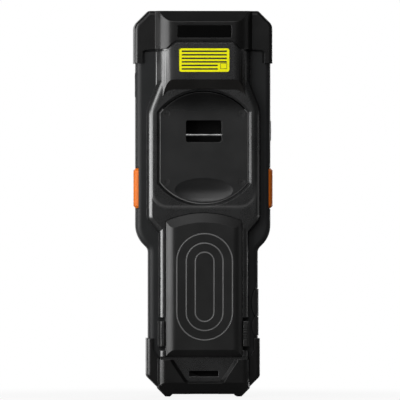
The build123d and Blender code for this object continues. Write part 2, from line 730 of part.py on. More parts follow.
with BuildPart() as bottom_bumper:
    with BuildSketch(at_depth(BOTTOM_BUMPER_FRONT)) as slab:
        symmetric_polygon([BOTTOM_BUMPER_OUTLINE[2], BOTTOM_BUMPER_OUTLINE[3], (BOTTOM_BUMPER_HALF, 45.0)])
        fillet(corners(slab, BOTTOM_BUMPER_OUTLINE[3]), 3.0)
    extrude(amount=FLANK + BUMPER_SKIN - BOTTOM_BUMPER_FRONT)
    fillet(bottom_bumper.faces().sort_by(Axis.Y)[0].edges(), BUMPER_ROUND)
    fillet(bottom_bumper.faces().sort_by(Axis.Y)[-1].edges(), 3.0)
    add(bulk_form.part)
    # the lower end slopes forward, below the lanyard floor
    with BuildSketch(Plane.YZ):
        Polygon(*LOWER_SLOPE, align=None)
    extrude(amount=BOTTOM_BUMPER_HALF, both=True, mode=Mode.SUBTRACT)
    with BuildSketch(at_depth(LANYARD_FLOOR)) as notch:
        symmetric_polygon(LANYARD_NOTCH)
        fillet(corners(notch, *LANYARD_NOTCH[:2]), NOTCH_ROUND)
    extrude(amount=5, taper=-NOTCH_SLOPE, mode=Mode.SUBTRACT)
    # upper edges
    with BuildSketch(at_depth(PARTING)):
        symmetric_polygon(BOTTOM_BUMPER_REAR_EDGE)
    extrude(amount=BEYOND, mode=Mode.SUBTRACT)
    with BuildSketch(at_depth(PARTING)):
        symmetric_polygon(BOTTOM_BUMPER_FRONT_EDGE)
    extrude(amount=-BEYOND, mode=Mode.SUBTRACT)
    high_edge = BOTTOM_BUMPER_OUTLINE[4][1]
    block((-LENGTH, LENGTH), (-BEYOND, BEYOND), (high_edge, high_edge + BEYOND), mode=Mode.SUBTRACT)
    with BuildSketch(at_depth(-BEYOND)):
        symmetric_polygon(FOOT_RELIEF)
    extrude(amount=2 * BEYOND, mode=Mode.SUBTRACT)
    for form in (flank_form, rail_form, front_form, lanyard_form, lanyard_slot, dock_opening):
        add(form.part, mode=Mode.SUBTRACT)
save(bottom_bumper, "bottom_bumper")

# ---- rear plate, strap bar and screws ----
BAR_Z = (148.9, 149.9)
BAR_DEPTH = (10.6, 13.2)
BAR_HALF = 11.2
DIMPLE_Z = 118.1
DIMPLE_HALF = (16.6, 6.7)
DIMPLE_DEEP = 1.7
PLATE_HEAD_SEAT = 12.0
plate_screw_sites = [
    (side * PLATE_SCREW_X, PLATE_Z + level * PLATE_SCREW_Z) for side in (-1, 1) for level in (-1, 1)
]
case_screw_sites = [(side * x, z) for side in (-1, 1) for x, z in CASE_SCREW_SITES]

# an ellipsoid that cuts the finger dimple; its centre stands above the plate
DIMPLE_RISE = 1.9
DIMPLE_GROWTH = 1.178
dimple_ball = scale(
    Sphere(1.0, mode=Mode.PRIVATE),
    by=(
        DIMPLE_HALF[0] * DIMPLE_GROWTH,
        DIMPLE_DEEP + DIMPLE_RISE,
        DIMPLE_HALF[1] * DIMPLE_GROWTH,
    ),
    mode=Mode.PRIVATE,
)
with BuildPart() as rear_plate:
    with BuildSketch(at_depth(PLATE_SEAT)):
        add(plate_outline.sketch_local)
    extrude(amount=PLATE_FACE - PLATE_SEAT)
    chamfer(rear_plate.faces().sort_by(Axis.Y)[0].edges(), 0.6)
    block(
        (-STRAP_HALF - TUB_WALL, STRAP_HALF + TUB_WALL),
        (STRAP_FLOOR - TUB_WALL, PLATE_SEAT),
        (STRAP_Z[0] - TUB_WALL, STRAP_Z[1] + TUB_WALL),
    )
    with BuildSketch(at_depth(STRAP_FLOOR)):
        with Locations((0, sum(STRAP_Z) / 2)):
            RectangleRounded(2 * STRAP_HALF, STRAP_Z[1] - STRAP_Z[0], 1.2)
    extrude(amount=10, mode=Mode.SUBTRACT)
    block((-BAR_HALF, BAR_HALF), BAR_DEPTH, BAR_Z, mode=Mode.SUBTRACT)
    with Locations((0, -PLATE_FACE - DIMPLE_RISE, DIMPLE_Z)):
        add(dimple_ball, mode=Mode.SUBTRACT)
    for x, z in plate_screw_sites:
        rod(x, z, (PLATE_SEAT, PLATE_FACE), SCREW_RADIUS + 0.1, mode=Mode.SUBTRACT)
        rod(x, z, (PLATE_HEAD_SEAT, PLATE_FACE), SCREW_HEAD_RADIUS + 0.1, mode=Mode.SUBTRACT)
save(rear_plate, "rear_plate")

with BuildPart() as strap_bar:
    block((-BAR_HALF, BAR_HALF), BAR_DEPTH, BAR_Z)
    fillet(strap_bar.edges().filter_by(Axis.X), 0.25)
save(strap_bar, "strap_bar")


HEAD_TALL = 1.5
CROSS_DEEP = 0.8
CROSS = (2.2, 0.45)         # length and width of the two slots in a screw's head
PLATE_SCREW_TIP = 6.8
CASE_SCREW_TIP = -9.0


def cross_head_screw(x, z, seat, tip):
    """A small machine screw that points forward, with a cross recess in its head."""
    rod(x, z, (seat, seat + HEAD_TALL), SCREW_HEAD_RADIUS)
    rod(x, z, (tip, seat), SCREW_RADIUS - 0.01)
    for across, tall in (CROSS, CROSS[::-1]):
        block(
            (x - across / 2, x + across / 2),
            (seat + HEAD_TALL - CROSS_DEEP, seat + HEAD_TALL + 1),
            (z - tall / 2, z + tall / 2),
            mode=Mode.SUBTRACT,
        )


with BuildPart() as plate_screws:
    for x, z in plate_screw_sites:
        cross_head_screw(x, z, PLATE_HEAD_SEAT, PLATE_SCREW_TIP)
save(plate_screws, "plate_screws")

with BuildPart() as case_screws:
    for x, z in case_screw_sites:
        cross_head_screw(x, z, SCREW_HEAD_SEAT, CASE_SCREW_TIP)
save(case_screws, "case_screws")

# ---- name field and asset label ----
with BuildPart() as nameplate:
    with BuildSketch(at_depth(HALF_THICKNESS - NAMEPLATE_THICK)):
        with Locations((0, NAMEPLATE_Z)):
            RectangleRounded(*NAMEPLATE_SIZE, 1.0)
    extrude(amount=NAMEPLATE_THICK)
save(nameplate, "nameplate")

LABEL_SIZE = (29.5, 14.3)
LABEL_Z = 192.1
LABEL_THICK = 0.15
with BuildPart() as asset_label:
    with BuildSketch(at_depth(RIDGE)):
        with Locations((0, LABEL_Z)):
            RectangleRounded(*LABEL_SIZE, 1.7)
    extrude(amount=LABEL_THICK)
save(asset_label, "asset_label")

# ---- display, frame and boards ----
GLASS_THICK = 1.3
with BuildPart() as display_window:
    with BuildSketch(at_depth(WINDOW_SEAT)):
        with Locations((0, WINDOW_Z)):
            RectangleRounded(WINDOW_SIZE[0] - 0.3, WINDOW_SIZE[1] - 0.3, 2.9)
    extrude(amount=-GLASS_THICK)
    chamfer(display_window.faces().sort_by(Axis.Y)[-1].edges(), 0.25)
save(display_window, "display_window")

PANEL_BACK = -13.5
with BuildPart() as display_panel:
    with BuildSketch(at_depth(PANEL_BACK)):
        with Locations((0, WINDOW_Z)):
            RectangleRounded(PANEL_SIZE[0] - 0.4, PANEL_SIZE[1] - 0.4, 0.5)
    extrude(amount=WINDOW_SEAT - PANEL_BACK)
save(display_panel, "display_panel")

FRAME_FACE = -13.5
FRAME_BACK = -12.4
FRAME_Z = (98.5, 199.5)
FRAME_HALF = 35.0
BOARD_FRONT = -10.6
BOARD_BACK = -9.4
BOARD_HALF = 34.5
BOARD_Z = (100.0, 199.5)
STANDOFFS = ((31.0, 104.0), (31.0, 195.0))
STANDOFF_RADIUS = 2.2
FLEX_CUTOUT = ((30.0, 34.0), (-20.0, 0.0), (145.0, 185.0))   # where display cables pass the frame
with BuildPart() as mid_frame:
    block((-FRAME_HALF, FRAME_HALF), (FRAME_FACE, FRAME_BACK), FRAME_Z)
    fillet(mid_frame.edges().filter_by(Axis.Y), 2.0)
    for side in (-1, 1):
        for x, z in STANDOFFS:
            rod(side * x, z, (FRAME_BACK, BOARD_FRONT), STANDOFF_RADIUS)
        x, z = MIDDLE_SCREWS
        rod(side * x, z, (FRAME_BACK, PARTING), BOSS_RADIUS)
        rod(side * x, z, (BOSS_DRILL, PARTING), SCREW_RADIUS, mode=Mode.SUBTRACT)
        side_block(side, *FLEX_CUTOUT, mode=Mode.SUBTRACT)
save(mid_frame, "mid_frame")

with BuildPart() as main_board:
    block((-BOARD_HALF, BOARD_HALF), (BOARD_FRONT, BOARD_BACK), BOARD_Z)
    chamfer(main_board.edges().filter_by(Axis.Y), 2.0)
    for side in (-1, 1):
        x, z = MIDDLE_SCREWS
        rod(side * x, z, (BOARD_FRONT, BOARD_BACK), BOSS_RADIUS + 0.3, mode=Mode.SUBTRACT)
save(main_board, "main_board")

CAN_TALL = 2.2
CAN_PLACES = (              # across and in height
    ((-28, -8), (150, 184)),
    ((-3, 26), (150, 184)),
    ((-27, -3), (104, 128)),
)
with BuildPart() as shield_cans:
    for x_range, z_range in CAN_PLACES:
        block(x_range, (BOARD_BACK, BOARD_BACK + CAN_TALL), z_range)
    chamfer(shield_cans.faces().sort_by(Axis.Y)[: len(CAN_PLACES)].edges(), 0.4)
save(shield_cans, "shield_cans")

KEY_BOARD = (-10.8, -9.8)
KEY_BOARD_HALF = 28.6
KEY_BOARD_Z = (20.3, 96.0)
DOME_TALL = 0.45
DOME_RADIUS = 2.2
with BuildPart() as key_board:
    block((-KEY_BOARD_HALF, KEY_BOARD_HALF), KEY_BOARD, KEY_BOARD_Z)
    chamfer(key_board.edges().filter_by(Axis.Y), 1.5)
save(key_board, "key_board")

key_centres = [(x, z) for _, x, z, _, _ in rectangular_keys] + [(0.0, SCAN_KEY_Z)]
with BuildPart() as key_domes:
    for x, z in key_centres:
        rod(x, z, (KEY_BOARD[0] - DOME_TALL, KEY_BOARD[0]), DOME_RADIUS)
save(key_domes, "key_domes")

SPEAKER_HALF = 9.0
SPEAKER_THICK = 3.4
SPEAKER_Z = (201.0, 210.4)
with BuildPart() as speaker:
    block(
        (-SPEAKER_HALF, SPEAKER_HALF),
        (FRONT_WALL_INSIDE, FRONT_WALL_INSIDE + SPEAKER_THICK),
        SPEAKER_Z,
    )
    fillet(speaker.edges().filter_by(Axis.Y), 3.0)
save(speaker, "speaker")

LED_FLANGE = (2.0, 1.0)     # radius and thickness
with BuildPart() as status_led:
    rod(*LED_PLACE, (BEZEL_FACE, FRONT_WALL_INSIDE), LED_RADIUS)
    rod(*LED_PLACE, (FRONT_WALL_INSIDE, FRONT_WALL_INSIDE + LED_FLANGE[1]), LED_FLANGE[0])
save(status_led, "status_led")

# ---- scan engine in the top end ----
ENGINE_BODY = ((-10.5, 10.5), (3.0, 12.6), (196.0, 211.5))
ENGINE_BRACKET = ((-15.0, 15.0), (12.6, 15.6), (194.0, 211.0))
ENGINE_LENSES = ((-5.5, 3.4), (4.5, 2.4))   # place across and radius
LENS_DEPTH = 7.6
LENS_TALL = 2.2
LENS_WALL = 0.8
with BuildPart() as scan_engine:
    block(*ENGINE_BODY)
    fillet(scan_engine.edges().filter_by(Axis.Z), 0.8)
    block(*ENGINE_BRACKET)
    for x, radius in ENGINE_LENSES:
        with Locations((x, -LENS_DEPTH, ENGINE_BODY[2][1] + LENS_TALL / 2)):
            Cylinder(radius, LENS_TALL)
            Cylinder(radius - LENS_WALL, LENS_TALL, mode=Mode.SUBTRACT)
save(scan_engine, "scan_engine")

with BuildPart() as scan_window:
    ledge = SCAN_LEDGE - 0.1
    block(
        (-SCAN_HALF - ledge, SCAN_HALF + ledge),
        (SCAN_DEPTH[0] - ledge, SCAN_DEPTH[1] + ledge),
        (BODY_TOP - SCAN_WINDOW_SEAT, BODY_TOP - 0.1),
    )
    fillet(scan_window.edges().filter_by(Axis.Z), 0.3)
save(scan_window, "scan_window")

# ---- battery pack: cover, cells and contact pads ----
COVER_EDGE = 15.0           # depth of the cover's outer edge
COVER_FLAT_HALF = 18.8
COVER_ROUND = 5.5
COVER_EDGE_ROUND = 0.8
PACK_SLOPE = [(-19.0, 27.4), (-19.0, 20.0), (-14.0, 20.0), (-14.9, 22.9)]   # (Y, Z)
TOP_ARC_RADIUS = (PACK_HALF**2 + (PACK_TOP - PACK_SHOULDER) ** 2) / (2 * (PACK_TOP - PACK_SHOULDER))
TOP_BEVEL = 5.2
GROOVE_Z = 62.9
GROOVES = ((15.9, 30.3), (10.5, 25.0), (5.35, 19.7))
GROOVE_WIDE = 0.9
GROOVE_DEEP = 0.35
CELL_HALF = 20.2
CELL_Z = (27.0, 97.5)
CELL_FLOOR = 2.9
CELL_TOP_Z = (30.0, 94.0)
CELL_TOP = 16.2
CELL_TOP_HALF = 18.3
HOLLOW_PLAY = 0.1           # round the cells, inside the cover

# bevel of the arched top end
with BuildPart() as arch_form:
    rod(0, PACK_TOP - TOP_ARC_RADIUS, (PACK_EDGE, COVER_EDGE), TOP_ARC_RADIUS)
    with Locations(
        Location((0, -(COVER_EDGE + PACK_FLAT) / 2, PACK_TOP - TOP_ARC_RADIUS), (90, 0, 0))
    ):
        Cone(TOP_ARC_RADIUS, TOP_ARC_RADIUS - TOP_BEVEL, PACK_FLAT - COVER_EDGE)

with BuildPart() as battery_cover:
    with BuildSketch(at_depth(PACK_EDGE)):
        add(pack_outline.sketch_local)
    extrude(amount=PACK_FLAT - PACK_EDGE)
    # rounded long sides
    with BuildSketch(Plane.XY.offset(PACK_BOTTOM)) as cover_section:
        symmetric_polygon([(PACK_HALF, -PACK_EDGE), (PACK_HALF, -COVER_EDGE), (COVER_FLAT_HALF, -PACK_FLAT)])
        fillet(corners(cover_section, (COVER_FLAT_HALF, -PACK_FLAT)), COVER_ROUND)
        fillet(corners(cover_section, (PACK_HALF, -COVER_EDGE)), COVER_EDGE_ROUND)
    extrude(amount=PACK_TOP - PACK_BOTTOM, mode=Mode.INTERSECT)
    add(arch_form.part, mode=Mode.INTERSECT)
    # slope of the bottom end
    with BuildSketch(Plane.YZ):
        Polygon(*PACK_SLOPE, align=None)
    extrude(amount=GRIP_HALF, both=True, mode=Mode.SUBTRACT)
    # hollow that the cells fill
    block(
        (-CELL_TOP_HALF - HOLLOW_PLAY, CELL_TOP_HALF + HOLLOW_PLAY),
        (PACK_EDGE, CELL_TOP + HOLLOW_PLAY),
        (CELL_TOP_Z[0] - 2 * HOLLOW_PLAY, CELL_TOP_Z[1] + 2 * HOLLOW_PLAY),
        mode=Mode.SUBTRACT,
    )
    # three grooved ovals
    for half_wide, half_tall in GROOVES:
        with BuildSketch(at_depth(PACK_FLAT)):
            with Locations((0, GROOVE_Z)):
                SlotOverall(2 * half_tall + GROOVE_WIDE, 2 * half_wide + GROOVE_WIDE, rotation=90)
                SlotOverall(
                    2 * half_tall - GROOVE_WIDE,
                    2 * half_wide - GROOVE_WIDE,
                    rotation=90,
                    mode=Mode.SUBTRACT,
                )
        extrude(amount=-GROOVE_DEEP, taper=40, mode=Mode.SUBTRACT)
save(battery_cover, "battery_cover")

with BuildPart() as battery_cells:
    block((-CELL_HALF, CELL_HALF), (CELL_FLOOR, PACK_EDGE), CELL_Z)
    fillet(battery_cells.edges().filter_by(Axis.Y), 1.5)
    block((-CELL_TOP_HALF, CELL_TOP_HALF), (PACK_EDGE, CELL_TOP), CELL_TOP_Z)
save(battery_cells, "battery_cells")

CONTACT_X = (-5.6, -2.8, 0.0, 2.8, 5.6)
CONTACT_Z = 89.0
PAD_SIZE = (1.8, 0.12, 4.0)
CONTACT_HEAD = ((-8.0, 8.0), (-0.6, WELL_FLOOR - 0.1), (86.0, 92.0))
CONTACT_BASE = ((-9.6, 9.6), (-2.2, 0.8), (84.6, 93.4))
CONTACT_PIN_RADIUS = 0.5
CONTACT_PIN_TIP = CELL_FLOOR - 0.25
with BuildPart() as battery_pads:
    for x in CONTACT_X:
        with Locations((x, -CELL_FLOOR + PAD_SIZE[1] / 2, CONTACT_Z)):
            Box(*PAD_SIZE)
save(battery_pads, "battery_pads")

with BuildPart() as battery_contacts:
    block(*CONTACT_HEAD)
    block(*CONTACT_BASE)
    for x in CONTACT_X:
        rod(x, CONTACT_Z, (CONTACT_HEAD[1][1], CONTACT_PIN_TIP), CONTACT_PIN_RADIUS)
save(battery_contacts, "battery_contacts")

# ---- battery latches and their springs ----
LATCH_FOOT = (5.7, 7.4)
LATCH_FOOT_X = (24.3, 27.4)
LATCH_FOOT_Z = (30.4, 40.6)
LATCH_BAR_X = (22.4, 24.7)
LATCH_STEP_X = (22.4, 26.2)
LATCH_DEPTH = (9.7, 11.2, 15.1)   # underside, step and top of the latch
LATCH_RIBS = 5
LATCH_RIB_PITCH = 1.5
LATCH_RIB_START = 4.3
LATCH_NOTCH = (0.6, 0.5)          # width and depth of the notches between the ribs
SPRING_RADIUS = 0.95
SPRING_WIRE = 0.16
SPRING_PITCH = 1.5
SPRING_Z = (21.2, 30.2)
SPRING_PLACE = (26.1, 6.4)
for side, name in ((-1, "left_latch"), (1, "right_latch")):
    with BuildPart() as latch:
        side_block(side, LATCH_BAR_X, (LATCH_DEPTH[0], LATCH_DEPTH[2]), LATCH_Z)
        side_block(side, LATCH_STEP_X, LATCH_DEPTH[:2], LATCH_Z)
        fillet(latch.faces().sort_by(Axis.Y)[0].edges(), 0.5)
        for step in range(LATCH_RIBS):
            low = LATCH_Z[0] + LATCH_RIB_START + LATCH_RIB_PITCH * step - LATCH_NOTCH[0] / 2
            side_block(
                side,
                (LATCH_BAR_X[0] - 1, LATCH_BAR_X[1] + 1),
                (LATCH_DEPTH[2] - LATCH_NOTCH[1], LATCH_DEPTH[2] + 1),
                (low, low + LATCH_NOTCH[0]),
                mode=Mode.SUBTRACT,
            )
        side_block(side, LATCH_STEM_X, (LATCH_FOOT[1], LATCH_DEPTH[0]), LATCH_STEM_Z)
        side_block(side, LATCH_FOOT_X, LATCH_FOOT, LATCH_FOOT_Z)
    save(latch, name)

    with BuildPart() as spring:
        with BuildLine() as coil:
            Helix(
                pitch=SPRING_PITCH,
                height=SPRING_Z[1] - SPRING_Z[0],
                radius=SPRING_RADIUS,
                center=(side * SPRING_PLACE[0], -SPRING_PLACE[1], SPRING_Z[0]),
            )
        with BuildSketch(Plane(origin=coil.line @ 0, z_dir=coil.line % 0)):
            Circle(SPRING_WIRE)
        sweep(is_frenet=True)
    save(spring, f"{name}_spring")

# ---- scan triggers and side keys ----
TRIGGER_PROUD = 39.7
TRIGGER_BLOCK_INNER = 36.0
TRIGGER_ROUND = 3.2
TRIGGER_BEVEL = 1.3
TRIGGER_FLANGE_X = (35.2, 36.4)
TRIGGER_FLANGE_DEPTH = (-3.3, 5.0)
TRIGGER_FLANGE_LAP = 1.1
for side, name in ((-1, "left_trigger"), (1, "right_trigger")):
    with BuildPart() as trigger:
        side_block(side, (TRIGGER_BLOCK_INNER, TRIGGER_PROUD), TRIGGER_DEPTH, TRIGGER_Z)
        outer_face = trigger.faces().sort_by(Axis.X)[-1 if side > 0 else 0]
        long_edges = outer_face.edges().filter_by(Axis.Z).sort_by(Axis.Y)
        fillet(long_edges[0], TRIGGER_ROUND)
        end_edges = trigger.faces().sort_by(Axis.X)[-1 if side > 0 else 0].edges().filter_by(Axis.Y)
        chamfer(end_edges, TRIGGER_BEVEL)
        side_block(
            side,
            TRIGGER_FLANGE_X,
            TRIGGER_FLANGE_DEPTH,
            (TRIGGER_Z[0] - TRIGGER_FLANGE_LAP, TRIGGER_Z[1] + TRIGGER_FLANGE_LAP),
        )
    save(trigger, name)

SIDE_KEY_PROUD = 38.9
SIDE_KEY_FLANGE_X = (35.2, 36.0)
SIDE_KEY_LAP = 0.9          # how far the flange reaches past the key
for side, span, name in ((1, POWER_Z, "power_key"), (-1, VOLUME_Z, "volume_key")):
    with BuildPart() as side_key:
        side_block(side, (SIDE_KEY_FLANGE_X[1] - 0.1, SIDE_KEY_PROUD), SIDE_KEY_DEPTH, span)
        outer_face = side_key.faces().sort_by(Axis.X)[-1 if side > 0 else 0]
        fillet(outer_face.edges().filter_by(Axis.Y), 0.9)
        side_block(
            side,
            SIDE_KEY_FLANGE_X,
            (SIDE_KEY_DEPTH[0] - SIDE_KEY_LAP, SIDE_KEY_DEPTH[1] + SIDE_KEY_LAP),
            (span[0] - SIDE_KEY_LAP, span[1] + SIDE_KEY_LAP),
        )
    save(side_key, name)

# switches on towers at the edges of the main board: place in height, face, tip
SWITCHES = (
    (-1, 119.0, 33.3, 33.8),
    (1, 119.0, 33.3, 33.8),
    (1, 152.0, 34.0, 34.6),
    (-1, 174.5, 34.0, 34.8),
    (-1, 181.7, 34.0, 34.8),
)
TOWER_INNER = 31.4
TOWER_HALF = 2.6
TOWER_TOP = 3.0
SWITCH_DEPTH = 0.4
SWITCH_RADIUS = 1.0
with BuildPart() as side_switches:
    for side, z, face, tip in SWITCHES:
        side_block(side, (TOWER_INNER, face), (BOARD_BACK, TOWER_TOP), (z - TOWER_HALF, z + TOWER_HALF))
        with Locations(Location((side * (face + tip) / 2, -SWITCH_DEPTH, z), (0, 90, 0))):
            Cylinder(SWITCH_RADIUS, tip - face)
save(side_switches, "side_switches")

# ---- side port ----
SOCKET_MOUTH = 29.9
SOCKET_INNER = 25.0
SOCKET_HALF = (1.63, 4.47)  # half of its thickness and width
SOCKET_WALL = 0.3
TONGUE_HALF = (0.35, 3.3)
TONGUE_X = (24.0, 28.4)
PORT_MIDDLE = sum(PORT_DEPTH) / 2


def port_block(x_range, halves, mode=Mode.ADD):
    """A box round the middle of the port."""
    thick, wide = halves
    block(
        x_range,
        (PORT_MIDDLE - thick, PORT_MIDDLE + thick),
        (PORT_Z - wide, PORT_Z + wide),
        mode=mode,
    )


with BuildPart() as usb_socket:
    port_block((WELL_HALF + WALL, SOCKET_MOUTH), SOCKET_HALF)
    fillet(usb_socket.edges().filter_by(Axis.X), 1.2)
    inside = [half - SOCKET_WALL for half in SOCKET_HALF]
    port_block((SOCKET_INNER, SOCKET_MOUTH + 1), inside, mode=Mode.SUBTRACT)
    port_block(TONGUE_X, TONGUE_HALF)
save(usb_socket, "usb_socket")

PLUG_X = (28.9, 30.4)
PLUG_HALF = (0.9, 3.4)
with BuildPart() as port_cover:
    add(flap_shell(FLAP_Z))
    port_block(PLUG_X, PLUG_HALF)
save(port_cover, "port_cover")

with BuildPart() as port_cover_anchor:
    add(flap_shell(STRAP_PIECE_Z))
    with Locations(Location((29.2, -STUD_DEPTH, STUD_Z), (0, 90, 0))):
        Cylinder(STUD_RADIUS, 2.0)
save(port_cover_anchor, "port_cover_anchor")

# ---- dock connector ----
DOCK_HEAD = ((-9.0, 9.0), (-10.0, -4.0), (1.6, 5.6))
DOCK_BASE = ((-11.0, 11.0), (-11.0, -3.0), (4.8, 8.2))
DOCK_CONTACTS = 8
DOCK_PITCH = 2.0
DOCK_CONTACT_HALF = 0.5
with BuildPart() as dock_connector:
    block(*DOCK_HEAD)
    block(*DOCK_BASE)
    for step in range(DOCK_CONTACTS):
        x = DOCK_PITCH * (step - (DOCK_CONTACTS - 1) / 2)
        block((x - DOCK_CONTACT_HALF, x + DOCK_CONTACT_HALF), (-8.6, -5.4), (1.4, 2.0))
save(dock_connector, "dock_connector")

# ---- keys ----
KEY_FLANGE_DEPTH = (-13.5, -12.7)
PLUNGER_TIP = -12.2
PLUNGER_RADIUS = 1.6


def finish_key(key, name):
    """Round the edge of a key's face and write it."""
    fillet(key.faces().sort_by(Axis.Y)[-1].edges(), 0.6)
    save(key, name)


for name, x, z, width, tall in rectangular_keys:
    with BuildPart() as key:
        with BuildSketch(at_depth(KEY_FACE)):
            with Locations((x, z)):
                RectangleRounded(width, tall, 1.8)
        extrude(amount=KEY_FLANGE_DEPTH[0] - KEY_FACE)
        with BuildSketch(at_depth(KEY_FLANGE_DEPTH[0])):
            with Locations((x, z)):
                RectangleRounded(width + 2 * KEY_FLANGE, tall + 2 * KEY_FLANGE, 2.4)
        extrude(amount=KEY_FLANGE_DEPTH[1] - KEY_FLANGE_DEPTH[0])
        rod(x, z, (KEY_FLANGE_DEPTH[1], PLUNGER_TIP), PLUNGER_RADIUS)
    finish_key(key, name)

with BuildPart() as scan_key:
    rod(0, SCAN_KEY_Z, (KEY_FACE - 0.3, KEY_FLANGE_DEPTH[0]), SCAN_KEY_RADIUS)
    rod(0, SCAN_KEY_Z, KEY_FLANGE_DEPTH, SCAN_KEY_RADIUS + KEY_FLANGE)
    rod(0, SCAN_KEY_Z, (KEY_FLANGE_DEPTH[1], PLUNGER_TIP), PLUNGER_RADIUS)
finish_key(scan_key, "scan_key")
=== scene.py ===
# %% [markdown]
# # Dressing a rugged data terminal
# The terminal is a handheld computer for a warehouse: a long grip with a keypad, a wider head with
# a screen, rubber bumpers at both ends and a battery pack in the back. Its solids come ready made,
# in metres, with +Z up and the back facing -Y. This lesson gives every solid its finish, adds the
# small printed and moulded details, and sets up a plain studio. Loading comes first, because every
# later piece is placed by the boxes of the solids.

# %% Load the solids
import math

import bmesh
import bpy
from mathutils import Matrix, Vector


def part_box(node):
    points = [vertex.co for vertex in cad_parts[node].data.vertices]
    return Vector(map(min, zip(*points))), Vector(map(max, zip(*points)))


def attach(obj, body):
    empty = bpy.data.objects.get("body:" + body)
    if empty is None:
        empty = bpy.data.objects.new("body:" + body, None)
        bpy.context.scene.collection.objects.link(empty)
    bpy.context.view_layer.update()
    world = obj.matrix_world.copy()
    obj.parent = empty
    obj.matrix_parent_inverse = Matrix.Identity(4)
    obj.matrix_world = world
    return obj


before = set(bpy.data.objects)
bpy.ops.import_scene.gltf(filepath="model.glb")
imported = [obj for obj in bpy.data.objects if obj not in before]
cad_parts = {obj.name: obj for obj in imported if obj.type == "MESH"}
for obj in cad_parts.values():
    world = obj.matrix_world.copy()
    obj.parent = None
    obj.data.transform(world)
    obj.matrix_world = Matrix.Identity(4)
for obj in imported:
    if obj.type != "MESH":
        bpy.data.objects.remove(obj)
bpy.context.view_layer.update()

MM = 0.001

# %% [markdown]
# ## The camera
# A flat object is shown best from far away with a long lens, so that its sides stay parallel. A
# camera close by would be simpler to aim, but it would swell the middle. This one stands 5 m behind
# the terminal, about level with its middle and a little to the left, and its lens is worked out
# from the width that the view has to cover.

# %% Camera
VIEW_WIDTH = 229 * MM
VIEW_CENTRE = Vector((-1.65, 0, 112.3)) * MM
VIEW_DISTANCE = 5.0
VIEW_AZIMUTH = math.radians(-2.5)

lens = bpy.data.cameras.new("camera")
lens.lens = lens.sensor_width * VIEW_DISTANCE / VIEW_WIDTH
camera = bpy.data.objects.new("camera", lens)
bpy.context.scene.collection.objects.link(camera)
bpy.context.scene.camera = camera
towards_camera = Vector((math.sin(VIEW_AZIMUTH), -math.cos(VIEW_AZIMUTH), 0))
camera.location = VIEW_CENTRE + towards_camera * VIEW_DISTANCE
camera.rotation_mode = "QUATERNION"
camera.rotation_quaternion = (-towards_camera).to_track_quat("-Z", "Y")
print("lens in mm:", round(lens.lens))

# %% [markdown]
# ## Shader maths as Python
# A finish is a tree of nodes, and wiring each one by hand hides the idea behind the wires. So one
# small class wraps an output socket and lets Python's own operators add Math nodes, and a second
# class, made once for each finish, adds every other node through a single method. After this a
# pattern reads like a formula.

# %% A value that varies over a surface
class Value:
    """An output socket. Python's operators on it add Math nodes."""

    def __init__(self, finish, socket):
        self.finish = finish
        self.socket = socket

    def math(self, operation, *values):
        """A Math node on these values."""
        return self.finish.node("ShaderNodeMath", {"operation": operation}, values)

    def __add__(self, other):
        return self.math("ADD", self, other)

    def __radd__(self, other):
        return self.math("ADD", other, self)

    def __sub__(self, other):
        return self.math("SUBTRACT", self, other)

    def __rsub__(self, other):
        return self.math("SUBTRACT", other, self)

    def __mul__(self, other):
        return self.math("MULTIPLY", self, other)

    def __rmul__(self, other):
        return self.math("MULTIPLY", other, self)

    def __truediv__(self, other):
        return self.math("DIVIDE", self, other)

    def __pow__(self, other):
        return self.math("POWER", self, other)

    def __abs__(self):
        return self.math("ABSOLUTE", self)

    def sine(self):
        return self.math("SINE", self)

    def fraction(self):
        return self.math("FRACT", self)

    def at_least(self, other):
        return self.math("MAXIMUM", self, other)

    def at_most(self, other):
        return self.math("MINIMUM", self, other)

    def step(self, low, high):
        """0 up to low, 1 from high on, and a smooth rise between."""
        return self.finish.node(
            "ShaderNodeMapRange",
            {"interpolation_type": "SMOOTHSTEP"},
            {"Value": self, "From Min": low, "From Max": high},
        )


